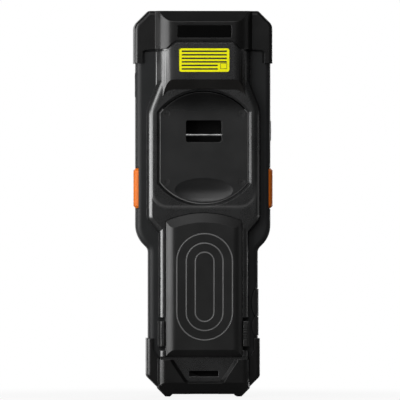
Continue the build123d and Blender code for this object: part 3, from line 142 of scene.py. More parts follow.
# %% A finish in the making
class Finish:
    """A material, its Principled shader, and the one method that adds nodes."""

    def __init__(self, name):
        self.material = bpy.data.materials.new(name)
        self.material.use_nodes = True
        self.tree = self.material.node_tree
        self.shader = self.tree.nodes["Principled BSDF"]
        self.place = self.node("ShaderNodeTexCoord", output="Object")

    def plug(self, socket, value):
        """Link a Value to a socket, or set a plain number or colour."""
        if isinstance(value, Value):
            self.tree.links.new(value.socket, socket)
        else:
            socket.default_value = value

    def node(self, kind, settings=None, values=(), output=0):
        """Add a node: its settings first, then a number or a Value for each socket."""
        new = self.tree.nodes.new(kind)
        for name, setting in (settings or {}).items():
            setattr(new, name, setting)
        for key, value in values.items() if isinstance(values, dict) else enumerate(values):
            self.plug(new.inputs[key], value)
        return Value(self, new.outputs[output])

    def set(self, sockets):
        """Numbers, colours or Values for the shader's own sockets."""
        for name, value in sockets.items():
            self.plug(self.shader.inputs[name], value)

    def so_far(self, name):
        """What already feeds one of the shader's sockets, so that more can go on top of it."""
        return Value(self, self.shader.inputs[name].links[0].from_socket)

    def mix(self, factor, colour_a, colour_b):
        """colour_a where factor is 0 and colour_b where it is 1."""
        values = {0: factor, 6: colour_a, 7: colour_b}
        return self.node("ShaderNodeMix", {"data_type": "RGBA"}, values, output=2)

    def axes(self):
        """The three coordinates of the surface point, in metres."""
        return [self.node("ShaderNodeSeparateXYZ", values=[self.place], output=i) for i in range(3)]

    def noise(self, size, detail=2.0, stretch=(1, 1, 1)):
        """Smooth noise from 0 to 1, with blobs about size metres across."""
        place = self.place
        if stretch != (1, 1, 1):
            place = self.node("ShaderNodeVectorMath", {"operation": "MULTIPLY"}, [place, stretch])
        values = {"Vector": place, "Scale": 1 / size, "Detail": detail}
        return self.node("ShaderNodeTexNoise", values=values)

    def bump(self, height, depth, normal=None):
        """The normal of a surface raised by height, from 0 to 1, times depth in metres."""
        values = {"Height": height, "Distance": depth, "Strength": 1.0}
        if normal is not None:
            values["Normal"] = normal
        return self.node("ShaderNodeBump", values=values)


def show(kind, *finishes):
    """Say which finishes a cell made."""
    print(kind, [finish.material.name for finish in finishes])


print("shader classes ready")

# %% [markdown]
# ## Edges that catch light
# No moulded edge is perfectly sharp: each has a small radius that draws a thin bright line. The
# solids could be bevelled, but hundreds of tiny faces would buy little. The Bevel node rounds the
# shading instead, and where its normal leaves the plain one it marks the edge, so the same node
# also tells where hands have polished the surface.

# %% Soft edges
EDGE_RADIUS = 0.3 * MM
EDGE_SAMPLES = 6
EDGE_TURN = (0.01, 0.2)     # how far the two normals part, where an edge begins and where it is full


def soft_edges(finish, radius=EDGE_RADIUS):
    """The normal with rounded edges, and a mask that is 1 along the edges."""
    rounded = finish.node("ShaderNodeBevel", {"samples": EDGE_SAMPLES}, {"Radius": radius})
    plain = finish.node("ShaderNodeNewGeometry", output="Normal")
    same = finish.node(
        "ShaderNodeVectorMath", {"operation": "DOT_PRODUCT"}, [rounded, plain], output="Value"
    )
    return rounded, (1 - same).step(*EDGE_TURN)


print("edge radius in mm:", EDGE_RADIUS / MM)

# %% Plain colours
def grey(level, warmth=0.0):
    """A near-neutral colour: warmth shifts it from blue towards red."""
    return (level * (1 + warmth), level, level * (1 - warmth), 1)


def shade(colour, factor, lift=0.0):
    """A darker or lighter version of a colour."""
    return tuple(c * factor + lift for c in colour[:3]) + (1,)


print("a dark grey:", grey(0.01), "and a shade of it:", shade(grey(0.01), 0.5))

# %% [markdown]
# ## Spark-eroded plastic
# The housing is a glass-filled plastic moulded in a spark-eroded tool, which leaves a fine even
# grain that breaks up reflections. A single roughness would look like paint, so the grain goes
# into bump, a slow noise shifts the roughness as handling does, and the edges are lighter and
# smoother where they have rubbed. One function makes every hard plastic of the terminal, each with
# its own grey, gloss and wear.

# %% Moulded plastic
HANDLING = 14 * MM          # size of the cloudy patches that handling leaves
HANDLING_DUST = 0.2
HANDLING_GLOSS = 0.12       # how far the patches shift the roughness
GRAIN_GLOSS = 0.08
RUB_GAPS = 2.5 * MM         # size of the gaps in the wear along an edge
RUB_POLISH = 0.2
RUB_COLOUR = grey(0.08)


def moulded(name, colour, roughness=0.3, grain=0.35 * MM, depth=0.003 * MM, shine=0.7, rub=0.2):
    """Grained plastic; rub says how much lighter its edges are."""
    finish = Finish(name)
    rounded, edges = soft_edges(finish)
    patches = finish.noise(HANDLING, 3)
    pits = finish.noise(grain, 2)
    wear_and_shadow = edges * (0.4 + 0.6 * finish.noise(RUB_GAPS)) * rub
    dusty = shade(colour, 1.3, 0.01)
    tinted = finish.mix(patches.step(0.3, 0.7) * HANDLING_DUST, colour, dusty)
    uneven = (patches - 0.5) * HANDLING_GLOSS - wear_and_shadow * RUB_POLISH + (pits - 0.5) * GRAIN_GLOSS
    finish.set({
        "Base Color": finish.mix(wear_and_shadow, tinted, RUB_COLOUR),
        "Roughness": roughness + uneven,
        "Specular IOR Level": shine,
        "Normal": finish.bump(pits, depth, rounded),
    })
    return finish


front_plastic = moulded("front_plastic", grey(0.011, -0.04), roughness=0.36, shine=0.5)
latch_plastic = moulded("latch_plastic", grey(0.006), roughness=0.36)
connector_plastic = moulded("connector_plastic", grey(0.008), roughness=0.5, rub=0.1)
flank_plastic = moulded("flank_plastic", grey(0.013, -0.04), roughness=0.5, shine=0.2, rub=0.1)
# painted shade: near black for the floors of the slots, where little light gets in
pocket_shade_plastic = moulded("pocket_shade_plastic", grey(0.002), roughness=0.7, shine=0.1, rub=0.0)
# painted shade: the downward slope above the plate is painted black, as it stays in shade
mouth_shade_plastic = moulded("mouth_shade_plastic", grey(0.003, 0.15), roughness=0.2, shine=0.5, rub=0.0)
# painted highlight: a pale grey on the plate's bevelled rim, standing in for the light it catches
rim_highlight_plastic = moulded("rim_highlight_plastic", grey(0.19), roughness=0.4, shine=0.5, rub=0.0)
show("plain plastics", front_plastic, latch_plastic, connector_plastic)
show("second skins", flank_plastic, pocket_shade_plastic, mouth_shade_plastic, rim_highlight_plastic)

# %% [markdown]
# ## Painted light on the back
# Two places of the back get painted light. The lip that runs round the lower end of the saddle gets
# a pale painted highlight, and the top of the plate gets a painted shadow of the ledge above it,
# smooth and black. A painted mask would need an image. The lip is a straight run with a rounded
# corner at each end, and the plate's shadow goes by height alone, so a short formula of the
# position finds both.

# %% Rear shell with a painted highlight on its lip
LIP_CORNER = (20.4 * MM, 117.6 * MM)    # sideways and up, the centre of the lip's rounded corner
LIP_ROUND = 9.3 * MM
LIP_HIGHLIGHT_REACH = (0.2 * MM, 1.5 * MM)         # distances from the lip, from full painted highlight to none
LIP_FADE = (112 * MM, 126 * MM)         # heights between which the painted highlight dies out
SADDLE_RISE = (13.5 * MM, 14.5 * MM)    # depths behind the middle plane, from plate to saddle
LIP_STRENGTH = 0.8
LIP_HIGHLIGHT_COLOUR = grey(0.05)


def housing_finish():
    """The rear shell, with a painted highlight along the lip of the saddle."""
    finish = moulded("housing_plastic", grey(0.006, -0.03), roughness=0.28, shine=1.0)
    x, y, z = finish.axes()
    sideways = (abs(x) - LIP_CORNER[0]).at_least(0)
    down = (LIP_CORNER[1] - z).at_least(0)
    from_lip = abs((sideways ** 2 + down ** 2) ** 0.5 - LIP_ROUND)
    on_saddle = (-1 * y).step(*SADDLE_RISE) * (1 - z.step(*LIP_FADE))
    # painted highlight: a pale band along the lip of the saddle, where light catches it
    lip_highlight = (1 - from_lip.step(*LIP_HIGHLIGHT_REACH)) * on_saddle * LIP_STRENGTH
    finish.set({"Base Color": finish.mix(lip_highlight, finish.so_far("Base Color"), LIP_HIGHLIGHT_COLOUR)})
    return finish


housing_plastic = housing_finish()
show("shell", housing_plastic)

# %% Sunk plate, smooth at its top, with a painted shadow there
# the painted shadow of the ledge above darkens the top of the plate between these heights
LEDGE_SHADOW_HEIGHTS = (157 * MM, 172 * MM)   # the polish starts at the first and is full at the second
LEDGE_SHADOW_POLISH = 0.2
LEDGE_SHADOW_COLOUR = grey(0.001)


def plate_finish():
    """Plastic with a painted shadow of the ledge above: black and smoother at the top of the plate.
    """
    finish = moulded("plate_plastic", grey(0.008, -0.02), roughness=0.36, shine=0.55)
    _, _, z = finish.axes()
    # painted shadow: black towards the top of the plate, where the ledge above shades it
    wear_and_shadow = z.step(*LEDGE_SHADOW_HEIGHTS)
    finish.set({
        "Base Color": finish.mix(wear_and_shadow, finish.so_far("Base Color"), LEDGE_SHADOW_COLOUR),
        "Roughness": finish.so_far("Roughness") - wear_and_shadow * LEDGE_SHADOW_POLISH,
    })
    return finish


plate_plastic = plate_finish()
show("plate", plate_plastic)

# %% [markdown]
# ## Over-moulded rubber
# The bumpers are a soft rubber moulded over the plastic. Rubber is darker than the plastic beside
# it, and dust and skin oil leave it slightly uneven. Years in hands have given the bumpers a satin
# gloss, while the seal, the port cover and the side keys stay matt. Sheen would make it look like
# cloth, so a roughness of its own with a fine leathery bump is enough.

# %% Rubber
RUBBER_EDGE = 0.5 * MM      # rubber has rounder edges than the hard plastic
SKIN_CELL = 0.5 * MM
SKIN_DEPTH = 0.008 * MM


def rubber(name, colour, roughness=0.55):
    """Rubber with a fine leathery skin."""
    finish = Finish(name)
    rounded, edges = soft_edges(finish, RUBBER_EDGE)
    patches = finish.noise(9 * MM, 4)
    skin = finish.node(
        "ShaderNodeTexVoronoi",
        {"feature": "SMOOTH_F1"},
        {"Vector": finish.place, "Scale": 1 / SKIN_CELL},
    )
    scuffs = edges * patches.step(0.45, 0.7)
    finish.set({
        "Base Color": finish.mix(scuffs * 0.4, colour, grey(0.04)),
        "Roughness": roughness + (patches - 0.5) * 0.16,
        "Specular IOR Level": 0.4,
        "Normal": finish.bump(skin, SKIN_DEPTH, rounded),
    })
    return finish


bumper_rubber = rubber("bumper_rubber", grey(0.005), roughness=0.3)
port_rubber = rubber("port_rubber", grey(0.011))
key_rubber = rubber("side_key_rubber", grey(0.014))
seal_rubber = rubber("seal_rubber", (0.18, 0.022, 0.018, 1))
show("rubbers", bumper_rubber, port_rubber, key_rubber, seal_rubber)

# %% [markdown]
# ## Which finish goes where
# One table gives the finish of each solid by its name. The finishes could be put on one by one as
# they are made, but a table is easier to check: the cells below add to it, and a single loop puts
# everything on at the end.

# %% Table of finishes
NODE_FINISHES = {
    "rear_housing": housing_plastic,
    "front_housing": front_plastic,
    "top_bumper": bumper_rubber,
    "bottom_bumper": bumper_rubber,
    "rear_plate": plate_plastic,
    "left_latch": latch_plastic,
    "right_latch": latch_plastic,
    "speaker": connector_plastic,
    "scan_engine": connector_plastic,
    "dock_connector": connector_plastic,
    "side_switches": connector_plastic,
    "port_cover": port_rubber,
    "port_cover_anchor": port_rubber,
    "power_key": key_rubber,
    "volume_key": key_rubber,
    "housing_seal": seal_rubber,
}
print("solids with a finish so far:", len(NODE_FINISHES))

# %% [markdown]
# ## The battery cover and its grooves
# The cover has three stadium-shaped grooves, one inside the other, whose polished floors draw thin
# grey lines: a lower roughness, with a painted highlight in a lighter grey. The grooves are in the
# solid, and their floors are a fraction of a millimetre wide. A separate inlay would need its own
# mesh, while the distance to a stadium is one short formula, so the shader finds the floors itself.

# %% Battery cover
GROOVE_CENTRE = 62.9 * MM
GROOVE_STRAIGHT = 14.4 * MM     # half length of the straight sides, the same for all three
GROOVE_RADII = (15.9 * MM, 10.5 * MM, 5.35 * MM)
GROOVE_LINE = 0.34 * MM         # half width of a polished line
LINE_FADE = (GROOVE_LINE * 0.6, GROOVE_LINE * 1.5)
LINE_STRENGTH = 0.9
# the lighter grey of the lines is a painted highlight
LINE_HIGHLIGHT_COLOUR = grey(0.17)
LINE_POLISH = 0.12
PACK_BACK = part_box("battery_cover")[0].y
PACK_FADE = (1 * MM, 2 * MM)    # deeper than this under its back, the cover has no polished line


def battery_cover_finish():
    """Moulded plastic with thin polished lines along the grooves, lightened as a painted highlight.
    """
    finish = moulded("battery_cover_plastic", grey(0.0095), roughness=0.37, shine=0.38)
    x, y, z = finish.axes()
    past_straight = (abs(z - GROOVE_CENTRE) - GROOVE_STRAIGHT).at_least(0)
    from_spine = (x ** 2 + past_straight ** 2) ** 0.5
    nearest = abs(from_spine - GROOVE_RADII[0])
    for radius in GROOVE_RADII[1:]:
        nearest = nearest.at_most(abs(from_spine - radius))
    near_back = 1 - (y - PACK_BACK).step(*PACK_FADE)
    # painted highlight: the groove floors are lighter and smoother
    groove_highlight = (1 - nearest.step(*LINE_FADE)) * near_back
    finish.set({
        "Base Color": finish.mix(groove_highlight * LINE_STRENGTH, finish.so_far("Base Color"), LINE_HIGHLIGHT_COLOUR),
        "Roughness": finish.so_far("Roughness") - groove_highlight * LINE_POLISH,
    })
    return finish


NODE_FINISHES["battery_cover"] = battery_cover_finish()
print("grooves:", len(GROOVE_RADII))

# %% [markdown]
# ## Orange triggers
# The scan triggers are a satin orange plastic, bright enough to find in a dark aisle. Colour this
# strong shows wear first, so a little dirt gathers in the grain, and fine ribs run across the
# thumb side to stop a glove from slipping. The ribs are a wave in the bump, because they are much
# finer than the silhouette shows. The scan key on the front is of the same colour, without ribs.

# %% Trigger plastic
ORANGE = (0.56, 0.125, 0.009, 1)
RIB_PITCH = 1.4 * MM
RIB_DEPTH = 0.1 * MM
THUMB_SIDE = (39.2 * MM, 39.6 * MM)     # distances from the middle between which the ribs begin
DIRT_PATCH = 5 * MM


def trigger_finish(name, colour):
    """Satin orange plastic with ribs across the thumb side."""
    finish = moulded(name, colour, roughness=0.42, depth=0.006 * MM, shine=0.15, rub=0.0)
    x, _, z = finish.axes()
    on_side = abs(x).step(*THUMB_SIDE)
    ribs = (z * (2 * math.pi / RIB_PITCH)).sine() * 0.5 + 0.5
    dirt = finish.noise(DIRT_PATCH, 4).step(0.5, 0.8) * 0.25
    finish.set({
        "Base Color": finish.mix(dirt, colour, shade(colour, 0.6)),
        "Normal": finish.bump(ribs * on_side, RIB_DEPTH, finish.so_far("Normal")),
    })
    return finish


trigger_plastic = trigger_finish("trigger_plastic", ORANGE)
scan_key_plastic = moulded("scan_key_plastic", ORANGE, roughness=0.36, rub=0.0)
NODE_FINISHES.update({
    "left_trigger": trigger_plastic,
    "right_trigger": trigger_plastic,
    "scan_key": scan_key_plastic,
})
show("orange plastics", trigger_plastic, scan_key_plastic)

# %% [markdown]
# ## Keys
# The keys are moulded in a slightly lighter grey than the front shell, with a silky top. They share
# one finish, and the noise runs through all of them in one piece of space, so no two keys look
# stamped from the same print.

# %% Key plastic
KEY_GRAIN = 0.25 * MM
KEY_GRAIN_DEPTH = 0.006 * MM
SIDE_KEYS = ("power_key", "volume_key")

key_plastic = moulded(
    "key_plastic", grey(0.028, -0.03), roughness=0.4, grain=KEY_GRAIN, depth=KEY_GRAIN_DEPTH
)
KEY_NODES = sorted(
    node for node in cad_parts
    if (node.endswith("_key") or node.startswith("key_") and node[4:].isdigit())
    and node not in SIDE_KEYS
)
for node in KEY_NODES:
    NODE_FINISHES.setdefault(node, key_plastic)
print("keys:", len(KEY_NODES))

# %% [markdown]
# ## Metals
# The strap bar is a bright ground steel pin, the screws are blackened or blued, and inside are
# tinned cans, spring wire, gold contacts and a die-cast frame. All are one idea, a metallic shader
# whose roughness and bump follow the last tool that touched it, so one function makes them.

# %% Metal
THIN_EDGE = 0.15 * MM       # edge radius of thin pieces, such as sheet, wire and film


def metal(name, colour, roughness, stretch=(1, 1, 1), scratch=0.4 * MM, depth=0.004 * MM):
    """Metal with scratches or grain drawn out along one axis."""
    finish = Finish(name)
    rounded, edges = soft_edges(finish, THIN_EDGE)
    marks = finish.noise(scratch, 3, stretch)
    stains = finish.noise(6 * MM, 4)
    finish.set({
        "Base Color": finish.mix(stains.step(0.35, 0.75), colour, shade(colour, 0.75)),
        "Metallic": 1.0,
        "Roughness": roughness + (marks - 0.5) * 0.2 - edges * 0.1,
        "Normal": finish.bump(marks, depth, rounded),
    })
    return finish


bright_steel = metal("bright_steel", grey(0.62), 0.28, stretch=(0.08, 1, 1))
black_steel = metal("black_steel", grey(0.05), 0.42)
blued_steel = metal("blued_steel", grey(0.06), 0.5)
can_steel = metal("can_steel", (0.62, 0.61, 0.58, 1), 0.34, stretch=(1, 1, 0.1))
gold = metal("gold_plate", (0.95, 0.66, 0.26, 1), 0.22)
cast_alloy = metal("cast_alloy", grey(0.52), 0.5, scratch=0.8 * MM, depth=0.02 * MM)
NODE_FINISHES.update({
    "strap_bar": bright_steel,
    "plate_screws": blued_steel,
    "case_screws": black_steel,
    "shield_cans": can_steel,
    "usb_socket": can_steel,
    "key_domes": bright_steel,
    "left_latch_spring": bright_steel,
    "right_latch_spring": bright_steel,
    "battery_contacts": gold,
    "battery_pads": gold,
    "mid_frame": cast_alloy,
})
show("metals", bright_steel, black_steel, blued_steel, can_steel, gold, cast_alloy)

# %% [markdown]
# ## Glass and the screen behind it
# The window is clear glass over a switched-off panel. Real glass shows two things at once, a sharp
# reflection and a dark picture area with a still darker printed border, so it is a transmitting
# shader with a print under it and not just a black gloss. The scan window is a deep red filter that
# hides the engine from the eye but not from its own light.

# %% Glass
def glass(name, colour, roughness=0.03):
    """Clear or tinted glass with faint finger marks."""
    finish = Finish(name)
    smears = finish.noise(11 * MM, 4, (1, 1, 0.5)).step(0.5, 0.8)
    finish.set({
        "Base Color": colour,
        "Transmission Weight": 1.0,
        "IOR": 1.5,
        "Roughness": roughness + smears * 0.05,
    })
    return finish


window_glass = glass("window_glass", (0.93, 0.95, 0.96, 1))
filter_glass = glass("filter_glass", (0.3, 0.012, 0.012, 1))
pipe_glass = glass("pipe_glass", (0.9, 0.95, 0.92, 1), roughness=0.2)
NODE_FINISHES.update({
    "display_window": window_glass,
    "scan_window": filter_glass,
    "status_led": pipe_glass,
})
show("glass", window_glass, filter_glass, pipe_glass)

# %% Switched-off screen
PIXEL_PITCH = 0.25 * MM


def screen_finish():
    """A switched-off panel: near black, with the faint grid of its pixels."""
    finish = Finish("screen_panel")
    x, _, z = finish.axes()
    across = abs((x / PIXEL_PITCH).fraction() - 0.5)
    up = abs((z / PIXEL_PITCH).fraction() - 0.5)
    grid = across.at_least(up).step(0.38, 0.48)
    finish.set({
        "Base Color": finish.mix(grid, (0.007, 0.008, 0.011, 1), (0.005, 0.005, 0.008, 1)),
        "Roughness": 0.25 + 0.1 * finish.noise(8 * MM),
    })
    return finish


NODE_FINISHES["display_panel"] = screen_finish()
show("screen", NODE_FINISHES["display_panel"])

# %% [markdown]
# ## Printed boards and cells
# The cells show only when the pack is tilted out, and the boards only when the case is open, but
# they are real pieces. A board is green lacquer over copper tracks: a brick pattern turned upright
# gives a believable layout of tracks without drawing any circuit.

# %% Board lacquer and cell wrap
TRACK_LENGTH = 5.2 * MM
TRACK_PITCH = 1.1 * MM
TRACK_WIDTH = 0.12 * MM


def board_finish():
    """Green lacquer over copper tracks."""
    finish = Finish("board_lacquer")
    quarter_turn = (math.pi / 2, 0, 0)
    upright = finish.node(
        "ShaderNodeMapping", values={"Vector": finish.place, "Rotation": quarter_turn}
    )
    tracks = finish.node(
        "ShaderNodeTexBrick",
        {"offset": 0.37},
        {
            "Vector": upright,
            "Scale": 1.0,
            "Mortar Size": TRACK_WIDTH,
            "Mortar Smooth": 0.2,
            "Brick Width": TRACK_LENGTH,
            "Row Height": TRACK_PITCH,
        },
        output="Fac",
    )
    cloud = finish.noise(7 * MM, 3)
    lacquer = finish.mix(cloud, (0.008, 0.075, 0.032, 1), (0.012, 0.1, 0.045, 1))
    finish.set({
        "Base Color": finish.mix(tracks, lacquer, (0.03, 0.19, 0.08, 1)),
        "Roughness": 0.32 + 0.1 * cloud,
        "Normal": finish.bump(tracks, 0.03 * MM),
    })
    return finish


def wrap_finish():
    """Shrink film: smooth, slightly wrinkled across its length."""
    finish = Finish("cell_wrap")
    wrinkles = finish.noise(5 * MM, 3, (1, 1, 0.25))
    finish.set({
        "Base Color": finish.mix(wrinkles, (0.016, 0.021, 0.036, 1), (0.024, 0.03, 0.05, 1)),
        "Roughness": 0.3 + 0.12 * finish.noise(9 * MM, 3),
        "Coat Weight": 0.3,
        "Normal": finish.bump(wrinkles, 0.25 * MM),
    })
    return finish


board_lacquer = board_finish()
cell_wrap = wrap_finish()
NODE_FINISHES.update({
    "main_board": board_lacquer,
    "key_board": board_lacquer,
    "battery_cells": cell_wrap,
})
show("inner finishes", board_lacquer, cell_wrap)

# %% [markdown]
# ## Name field and asset label
# The name field is a polished black insert and stays bare. The asset label is a yellow film for
# writing on, so it gets a border, ruled lines and an empty box. Film and ink are a flat colour with
# a faint orange-peel bump, and only the roughness tells a polished insert from paper-like film.

# %% Printed films
PEEL_SIZE = 1.2 * MM
PEEL_DEPTH = 0.008 * MM


def film_finish(name, colour, roughness=0.4):
    """Film or ink with a faint orange peel, slightly dulled where it is handled."""
    finish = Finish(name)
    rounded, _ = soft_edges(finish, THIN_EDGE)
    peel = finish.noise(PEEL_SIZE, 2)
    handling = finish.noise(8 * MM, 3)
    finish.set({
        "Base Color": finish.mix(handling.step(0.5, 0.8), colour, shade(colour, 0.9)),
        "Roughness": roughness + handling * 0.08,
        "Specular IOR Level": 0.25,
        "Normal": finish.bump(peel, PEEL_DEPTH, rounded),
    })
    return finish


name_field_gloss = film_finish("name_field_gloss", grey(0.0015), roughness=0.08)
label_film = film_finish("label_film", (0.84, 0.82, 0.0, 1))
label_ink = film_finish("label_ink", grey(0.02))
legend_ink = film_finish("legend_ink", grey(0.75))
border_print = film_finish("border_print", grey(0.0015), roughness=0.2)
NODE_FINISHES["nameplate"] = name_field_gloss
NODE_FINISHES["asset_label"] = label_film
show("films", name_field_gloss, label_film, label_ink, legend_ink, border_print)

# %% Put the finishes on the solids
for node, finish in NODE_FINISHES.items():
    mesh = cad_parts[node].data
    mesh.materials.clear()
    mesh.materials.append(finish.material)
print("without a finish:", sorted(set(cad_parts) - set(NODE_FINISHES)))

# %% [markdown]
# ## Pieces with two skins
# The outer flanks of the housing are gripped all day. They are moulded with a coarser, duller grain
# than the polished ridge and saddle, so their rounded edges draw no bright line. The floors of the
# strap slot and the lanyard slot are the rough insides of pockets, painted near black as shade where
# hardly any light gets in. The slope above the plate is painted black as shade and made smooth, so
# that it mirrors only the dark floor, and the plate's own bevelled rim is painted pale as a
# highlight.
# A mask in the shader would need the shape of each face again, so the faces themselves get the other
# finish.

# %% A second finish for some faces of a solid
# a zone is a half width, a pair of depths behind the middle plane and a pair of heights
FLANKS = (40 * MM, (-20 * MM, 9.7 * MM), (0, 221 * MM))
MOUTH = (24 * MM, (15.3 * MM, 18.5 * MM), (172 * MM, 186 * MM))
STRAP_POCKET = (10.6 * MM, (0, 12.6 * MM), (148 * MM, 159 * MM))
LANYARD_POCKET = (8.6 * MM, (9.3 * MM, 13.4 * MM), (11.3 * MM, 14.9 * MM))
PLATE_RIM = (30 * MM, (13.05 * MM, 13.55 * MM), (108 * MM, 164 * MM))
BEVELLED = (0.6, 0.8)       # how far a face at about 45 degrees looks back
ANY_WAY = (-1.1, 1.1)       # every face


def repaint(node, finish, zone, looks_back=ANY_WAY):
    """Put a further finish on the faces whose centre lies in a zone and that look back so far."""
    half_width, (shallow, deep), (low, high) = zone
    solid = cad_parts[node]
    solid.data.materials.append(finish.material)
    count = 0
    for face in solid.data.polygons:
        x, y, z = solid.matrix_world @ face.center
        back = -(solid.matrix_world.to_3x3() @ face.normal).normalized().y
        in_zone = abs(x) < half_width and shallow < -y < deep and low < z < high
        if in_zone and looks_back[0] < back < looks_back[1]:
            face.material_index = len(solid.data.materials) - 1
            count += 1
    print(node, finish.material.name, count, "faces")


repaint("rear_housing", flank_plastic, FLANKS)
repaint("rear_housing", mouth_shade_plastic, MOUTH)
repaint("rear_housing", pocket_shade_plastic, LANYARD_POCKET)
repaint("rear_plate", pocket_shade_plastic, STRAP_POCKET)
repaint("rear_plate", rim_highlight_plastic, PLATE_RIM, BEVELLED)

# %% [markdown]
# ## Thin printed shapes
# Ruled lines, borders and the signs on keys are thin ink. Each is a flat shape on some face of the
# object, given a few hundredths of a millimetre of thickness so that it is real geometry. A text
# object can make the digits, and for the signs a stroke of even width along a few points is easier
# to control than a drawn outline.

# %% A face of the object, and a piece on it
INK = 0.03 * MM


class Face:
    """A flat place on the object: its middle, and which way its right, up and outward point."""

    def __init__(self, middle, right, up):
        self.middle = Vector(middle)
        self.right = Vector(right)
        self.up = Vector(up)
        self.out = self.right.cross(self.up)

    def matrix(self):
        turn = Matrix((self.right, self.up, self.out)).transposed().to_4x4()
        return Matrix.Translation(self.middle) @ turn


def finish_piece(name, mesh, finish, body):
    """A mesh becomes a piece that rides on a body."""
    mesh.materials.clear()
    mesh.materials.append(finish.material)
    piece = bpy.data.objects.new(name, mesh)
    bpy.context.scene.collection.objects.link(piece)
    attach(piece, body)


print("ink thickness in mm:", INK / MM)

# %% Strokes and outlines
MITRE_LIMIT = 0.35          # keeps the tip of a sharp corner from running far out


def stroke(bm, points, width, closed=False):
    """A flat band of even width along points, mitred at its corners, in the XY plane."""
    points = [Vector((x, y, 0)) for x, y in points]
    rails = []
    for i, point in enumerate(points):
        before = points[i - 1] if i or closed else point
        after = points[(i + 1) % len(points)] if i + 1 < len(points) or closed else point
        ways = [way.normalized() for way in (point - before, after - point) if way.length > 0]
        along = sum(ways, Vector()).normalized()
        reach = width / 2 / max(along.dot(ways[0]), MITRE_LIMIT)
        across = Vector((-along.y, along.x, 0)) * reach
        rails.append((bm.verts.new(point - across), bm.verts.new(point + across)))
    for i in range(len(rails) if closed else len(rails) - 1):
        right, left = rails[i]
        next_right, next_left = rails[(i + 1) % len(rails)]
        bm.faces.new((right, next_right, next_left, left))


def raise_and_place(bm, face, height):
    """Give flat faces a thickness and set them on a face of the object."""
    raised = bmesh.ops.extrude_face_region(bm, geom=bm.faces[:])
    verts = [v for v in raised["geom"] if isinstance(v, bmesh.types.BMVert)]
    bmesh.ops.translate(bm, verts=verts, vec=(0, 0, height))
    bmesh.ops.recalc_face_normals(bm, faces=bm.faces[:])
    mesh = bpy.data.meshes.new("print")
    bm.to_mesh(mesh)
    bm.free()
    mesh.transform(face.matrix())
    return mesh


def circle(radius, count=40, start=0.0, sweep=math.tau):
    """Points round a circle, or round part of one."""
    steps = count if sweep == math.tau else count - 1
    angles = [start + sweep * i / steps for i in range(count)]
    return [(radius * math.cos(angle), radius * math.sin(angle)) for angle in angles]


def rounded_rectangle(width, height, radius, count=6):
    """Points round a rectangle with rounded corners, anticlockwise."""
    points = []
    for corner, (side, end) in enumerate(((1, 1), (-1, 1), (-1, -1), (1, -1))):
        for i in range(count + 1):
            angle = (corner + i / count) * math.pi / 2
            x = side * (width / 2 - radius) + radius * math.cos(angle)
            y = end * (height / 2 - radius) + radius * math.sin(angle)
            points.append((x, y))
    return points


print("points in a whole circle:", len(circle(1)))

# %% [markdown]
# ## The ruled label
# Six lines run across the yellow film, the lowest two shorter beside an empty box, and a dark
# border runs along its edge. An image would blur close by, while strokes stay sharp, so the lines,
# the box and the border are all one kind of stroke.

# %% Where the label is
low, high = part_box("asset_label")
label_size = high - low
label_face = Face(((low.x + high.x) / 2, low.y, (low.z + high.z) / 2), (1, 0, 0), (0, 0, 1))
print("label in mm:", [round(c / MM, 1) for c in label_size])

# %% Label rules
LABEL_ROWS = 6
SHORT_ROWS = 2                  # the lowest rows, which leave room for the box
RULE_WIDTH = 0.9 * MM
ROW_MARGIN = 2.2 * MM           # what the rows leave free at the top and bottom together
SIDE_MARGIN = 1.9 * MM
BOX_ROOM = 5.2 * MM
BOX_WIDTH = 3.6 * MM
BOX_FOOT = -4.9 * MM            # heights from the middle of the label
BOX_HEAD = -1.9 * MM
BOX_LINE = 0.25 * MM

row_pitch = (label_size.z - ROW_MARGIN) / LABEL_ROWS
right_end = label_size.x / 2 - SIDE_MARGIN
bm = bmesh.new()
for row in range(LABEL_ROWS):
    height = (row - (LABEL_ROWS - 1) / 2) * row_pitch
    row_end = right_end - BOX_ROOM if row < SHORT_ROWS else right_end
    stroke(bm, [(-right_end, height), (row_end, height)], RULE_WIDTH)
box_left = right_end - BOX_WIDTH
box = [(box_left, BOX_FOOT), (box_left, BOX_HEAD), (right_end, BOX_HEAD), (right_end, BOX_FOOT)]
stroke(bm, box, BOX_LINE, closed=True)
finish_piece("label_rules", raise_and_place(bm, label_face, INK), label_ink, "root")
print("rows:", LABEL_ROWS, "pitch in mm:", round(row_pitch / MM, 2))

# %% Label border
LABEL_BORDER = 0.45 * MM
LABEL_CORNER = 1.7 * MM

edge_width = label_size.x - LABEL_BORDER
edge_height = label_size.z - LABEL_BORDER
edge = rounded_rectangle(edge_width, edge_height, LABEL_CORNER - LABEL_BORDER / 2)
bm = bmesh.new()
stroke(bm, edge, LABEL_BORDER, closed=True)
finish_piece("label_border", raise_and_place(bm, label_face, INK), label_ink, "root")
print("border points:", len(edge))

# %% [markdown]
# ## Signs on the keys
# Each key gets a light sign, and the orange scan key a dark one: digits from Blender's own letters,
# and simple strokes for the rest. An image on each key would be one more file for each and would
# blur close by. The sign rides on its key's own body, so it sinks with the key.

# %% Key signs
SIGN_WIDTH = 0.42 * MM
DIGIT_SIZE = 4.6 * MM


def key_face(node):
    """The top of a key, as the user reads it from the front."""
    low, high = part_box(node)
    return Face(((low.x + high.x) / 2, high.y, (low.z + high.z) / 2), (-1, 0, 0), (0, 0, 1))


def digit_mesh(digit, face):
    """A digit as a mesh that stands INK proud of the face."""
    text = bpy.data.curves.new("digit", "FONT")
    text.body = digit
    text.size = DIGIT_SIZE
    text.align_x = "CENTER"
    text.align_y = "CENTER"
    text.extrude = INK / 2
    holder = bpy.data.objects.new("digit", text)
    bpy.context.scene.collection.objects.link(holder)
    bpy.context.view_layer.update()
    mesh = bpy.data.meshes.new_from_object(holder)
    bpy.data.objects.remove(holder)
    mesh.transform(face.matrix() @ Matrix.Translation((0, 0, INK / 2)))
    return mesh


